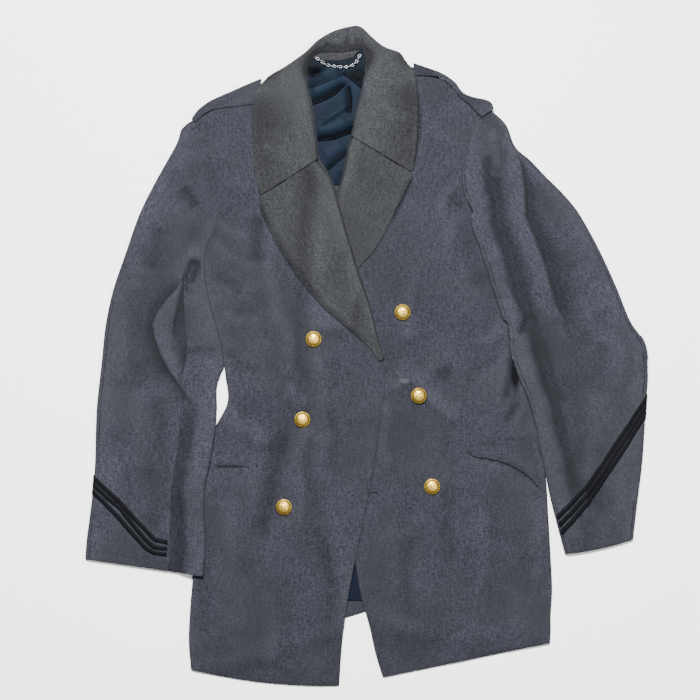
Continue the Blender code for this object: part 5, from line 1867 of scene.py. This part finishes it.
def end_shape_group(graph, shape, material):
    """Gives the shape its material and smooth shading, and hands it out."""
    finish = graph.add("GeometryNodeSetMaterial", {"Geometry": shape, "Material": material})
    smooth_all = graph.add("GeometryNodeSetShadeSmooth", {0: finish.outputs[0]})
    graph.add("NodeGroupOutput", {0: smooth_all.outputs[0]})
    return graph.tree


def circle_group():
    """Geometry Nodes: a grain on points round a circle, joined to the mesh that comes in."""
    graph, source = start_shape_group("round_a_circle", (
        ("Geometry", SHAPE), ("Grain", OBJECT), ("Count", "NodeSocketInt"), ("Radius", FLOAT),
        ("Height", FLOAT), ("Twist", FLOAT), ("Finish", MATERIAL)))
    inputs = {"Radius": source["Radius"], "Resolution": 96}
    ring = graph.add("GeometryNodeCurvePrimitiveCircle", inputs).outputs[0]
    points = graph.add("GeometryNodeCurveToPoints", {"Curve": ring, "Count": source["Count"]})
    turn = turned_by(graph, points.outputs["Rotation"], vector_of(graph, z=source["Twist"]))
    placed = set_on_points(graph, points.outputs[0], source["Grain"], turn)
    lift = vector_of(graph, z=source["Height"])
    moved = graph.add("GeometryNodeTransform", {"Geometry": placed, "Translation": lift})
    real = graph.add("GeometryNodeRealizeInstances", {0: moved.outputs[0]})
    joined = graph.add("GeometryNodeJoinGeometry")
    for shape in (source["Geometry"], real.outputs[0]):
        graph.tree.links.new(shape, joined.inputs[0])
    return end_shape_group(graph, joined.outputs[0], source["Finish"])


def set_inputs(modifier, values):
    """Sets a Geometry Nodes modifier's inputs by their names, through the sockets' identifiers."""
    for socket in modifier.node_group.interface.items_tree:
        if socket.in_out == "INPUT" and socket.name in values:
            modifier[socket.identifier] = values[socket.name]


def made_plain(item, name):
    """The item's evaluated mesh as a new plain object, with no modifiers left."""
    bpy.context.view_layer.update()
    evaluated = item.evaluated_get(bpy.context.evaluated_depsgraph_get())
    mesh = bpy.data.meshes.new_from_object(evaluated)
    bpy.data.objects.remove(item, do_unlink=True)
    return link(name, mesh)


def button_mesh():
    """One finished button, its back on Z = 0."""
    radius = BUTTON_DIAMETER / 2
    outline = [(0.0, 0.0), (0.80 * radius, 0.0), (0.96 * radius, 0.7), (radius, 1.7), (0.985 * radius, 2.5),
               (0.93 * radius, 2.9), (0.84 * radius, 2.8)]
    shares = (1.0, 0.94, 0.85, 0.7, 0.5, 0.25)
    outline += [(share * DOME_RADIUS, dome_height(share * DOME_RADIUS)) for share in shares]
    outline.append((0.0, float(dome_height(0.0))))
    points, faces = turned(outline)
    item = link("button_blank", make_mesh("button_blank", points, faces, [GILT]))
    petal_at, leaf_at, bead_at, seed_at = (share * DOME_RADIUS for share in (0.36, 0.60, 0.80, 0.17))
    for label, size, count, at, height, twist in (
        ("rope", (2.6, 0.9, 1.0), ROPE_TURNS, RIM_RADIUS, 2.95, 0.6),
        ("petals", (1.5, 3.4, 1.0), PETALS, petal_at, dome_height(petal_at) - 0.05, 0.0),
        ("leaves", (0.7, 2.2, 0.7), PETALS * 2, leaf_at, dome_height(leaf_at) - 0.05, 0.0),
        ("beads", (0.7, 0.7, 0.7), BEADS, bead_at, dome_height(bead_at), 0.0),
        ("seeds", (0.8, 0.8, 0.8), 6, seed_at, dome_height(seed_at), 0.0),
    ):
        modifier = item.modifiers.new(label, "NODES")
        modifier.node_group = CIRCLE
        grain = small_grain(f"grain_{label}", size)
        set_inputs(modifier, {"Grain": grain, "Count": count, "Radius": at * MM, "Height": float(height) * MM,
                              "Twist": twist, "Finish": GILT})
    return made_plain(item, "button_master")


CIRCLE = circle_group()
master = button_mesh()
around = np.linspace(0, 2 * pi, 17)
buttons = {}
for name, x, y in BUTTONS:
    ground = right_ground if "right" in name else left_ground
    floor_height = ground(x + 9.5 * np.cos(around), y + 9.5 * np.sin(around)).max() + SEAM_GAP
    mesh = master.data.copy()
    points = np.array([vertex.co for vertex in mesh.vertices])
    turn = 0.13 * x
    points[:, :2] = points[:, :2] @ np.array(((cos(turn), sin(turn)), (-sin(turn), cos(turn))))
    points += np.array((x, y, floor_height)) * MM
    mesh.vertices.foreach_set("co", points.astype(np.float32).ravel())
    mesh.update()
    buttons[name] = settle(link(f"coat_{name}", mesh), "gilt", name)
bpy.data.objects.remove(master, do_unlink=True)
print("buttons:", len(buttons), "with", len(buttons["button_left_1"].data.polygons), "faces each")

# %% [markdown]
# ## Hanger chain
#
# A hanger chain is small steel links, each turned a quarter from the last. They
# follow one curve, which is the CAD tube's route, so Geometry Nodes sets a link
# at even steps of it and turns every second one.

# %% Hanger chain
LINK_PITCH = 4.3
LINK_HALF_LENGTH, LINK_HALF_WIDTH, LINK_WIRE = 2.7, 1.6, 0.46
CHAIN_LIFT = 2.4


def chain_link():
    """One oval link of round wire."""
    ring, wire = 20, 8
    points = []
    for step in range(ring):
        angle = 2 * pi * step / ring
        middle = np.array((0.0, LINK_HALF_LENGTH * cos(angle), LINK_HALF_WIDTH * sin(angle)))
        away = np.array((0.0, cos(angle), sin(angle)))
        for turn in range(wire):
            tilt = 2 * pi * turn / wire
            points.append(middle + LINK_WIRE * (cos(tilt) * away + sin(tilt) * np.array((1.0, 0, 0))))
    faces = []
    for step in range(ring):
        for turn in range(wire):
            a, b = step * wire + turn, step * wire + (turn + 1) % wire
            c, d = (step + 1) % ring * wire + (turn + 1) % wire, (step + 1) % ring * wire + turn
            faces.append((a, d, c, b))
    return bpy.data.objects.new("chain_link", make_mesh("chain_link", points, faces, [STEEL]))


def follow_group():
    """Geometry Nodes: a grain at even steps of a curve, every second one turned over."""
    graph, source = start_shape_group("follow_a_path", (
        ("Path", SHAPE), ("Grain", OBJECT), ("Pitch", FLOAT), ("Turn", FLOAT), ("Finish", MATERIAL)))
    curve = graph.add("GeometryNodeMeshToCurve", {"Mesh": source["Path"]}).outputs[0]
    inputs = {"Curve": curve, "Length": source["Pitch"]}
    points = graph.add("GeometryNodeCurveToPoints", inputs, mode="LENGTH")
    odd = graph.math("MODULO", graph.add("GeometryNodeInputIndex").outputs[0], 2.0)
    spin = graph.math("MULTIPLY", odd, source["Turn"])
    flat = turned_by(graph, points.outputs["Rotation"], vector_of(graph, x=-pi / 2, z=pi / 2))
    turn = turned_by(graph, flat, vector_of(graph, y=spin))
    placed = set_on_points(graph, points.outputs[0], source["Grain"], turn)
    real = graph.add("GeometryNodeRealizeInstances", {0: placed})
    return end_shape_group(graph, real.outputs[0], source["Finish"])


FOLLOW = follow_group()


def along_path(name, points, grain, pitch, turn, finish):
    """Grains along a line of points in millimetres, as one plain mesh."""
    count = len(points)
    path = bpy.data.meshes.new(name)
    edges = [(index, index + 1) for index in range(count - 1)]
    path.from_pydata([tuple(point) for point in np.asarray(points) * MM], edges, [])
    item = link(name, path)
    modifier = item.modifiers.new("follow", "NODES")
    modifier.node_group = FOLLOW
    set_inputs(modifier, {"Grain": grain, "Pitch": pitch * MM, "Turn": turn, "Finish": finish})
    return made_plain(item, name)


chain_line = refine(CHAIN_ROUTE, 12) + np.array((0, 0, CHAIN_LIFT))
chain = along_path("coat_hanger_chain", chain_line, chain_link(), LINK_PITCH, pi / 2, STEEL)
settle(chain, "steel", "hanger_chain")
print("chain:", len(chain.data.polygons), "faces")

# %% [markdown]
# ## Stitches and the worked bar
#
# Edge stitching is a row of short threads a few millimetres inside an edge, each
# sunk at its ends. The path of a row is a line of the panel's own grid, lifted by
# half a thread, so the stitches ride over every fold. The same node group that
# carries the chain's links carries the stitches, and the bar at the buttonhole is
# a row of wide threads side by side.

# %% Stitches and the worked bar
STITCH_PITCH = 3.2
thread_material, thread_graph, thread_shader = start_material("wool_thread", 0.8, sheen=0.1)
thread_place = thread_graph.add("ShaderNodeTexCoord").outputs["Object"]
thread_tone = thread_graph.between(thread_graph.noise(thread_place, 900.0, 2.0), 0.35, 0.65)
thread_graph.feed(thread_shader.inputs["Base Color"],
                  thread_graph.mix(thread_tone, (0.020, 0.021, 0.027, 1), (0.045, 0.047, 0.055, 1)))
stitch = small_grain("grain_stitch", (2.1, 0.5, 0.42))


def inset_line(grid, inset):
    """A line a distance inside a grid's last column."""
    result = []
    for line in grid[:, ::-1]:
        run = np.concatenate([[0], np.cumsum(np.linalg.norm(np.diff(line, axis=0), axis=1))])
        result.append([np.interp(inset, run, line[:, axis]) for axis in range(3)])
    return np.array(result)


def sew(name, line, slot):
    """A row of stitches along a line on a panel, just proud of the cloth."""
    raised = line + np.array((0, 0, 0.12))
    row = along_path(name, raised, stitch, STITCH_PITCH, 0.0, thread_material)
    return settle(row, slot)


rows_of_stitches = [
    sew("stitches_collar", inset_line(collar_points, 6.0)[6:-6], "collar_wool"),
    sew("stitches_lapel_right", inset_line(lapel_grids["right"], 6.0)[3:-2], "collar_wool"),
    sew("stitches_lapel_left", inset_line(lapel_grids["left"], 6.0)[3:-2], "collar_wool"),
    sew("stitches_front_right", inset_line(right_grid, 6.0)[106:-2], "wool"),
    sew("stitches_pocket_flap", inset_line(flap_grid, 5.0), "wool"),
]
for side in ("right", "left"):
    line = inset_line(strap_grids[side], 3.5)[2:-2]
    rows_of_stitches.append(sew(f"stitches_strap_{side}", line, "wool"))

bar_x, bar_y = BAR_MIDDLE
bar_ground = left_ground(np.array([bar_x]), np.array([bar_y]))[0]
BAR_HALF, BAR_LIFT, BAR_PITCH = 5.0, 0.9, 0.62
bar_ends = [(bar_x + side * BAR_HALF, bar_y, bar_ground + BAR_LIFT) for side in (-1, 1)]
bar_line = np.linspace(*bar_ends, 12)
bar_thread = small_grain("grain_bar", (0.9, 4.6, 1.1))
bar = along_path("coat_buttonhole_bar", bar_line, bar_thread, BAR_PITCH, 0.0, BRAID)
settle(bar, "braid", "buttonhole_bar")
print("rows of stitches:", len(rows_of_stitches))
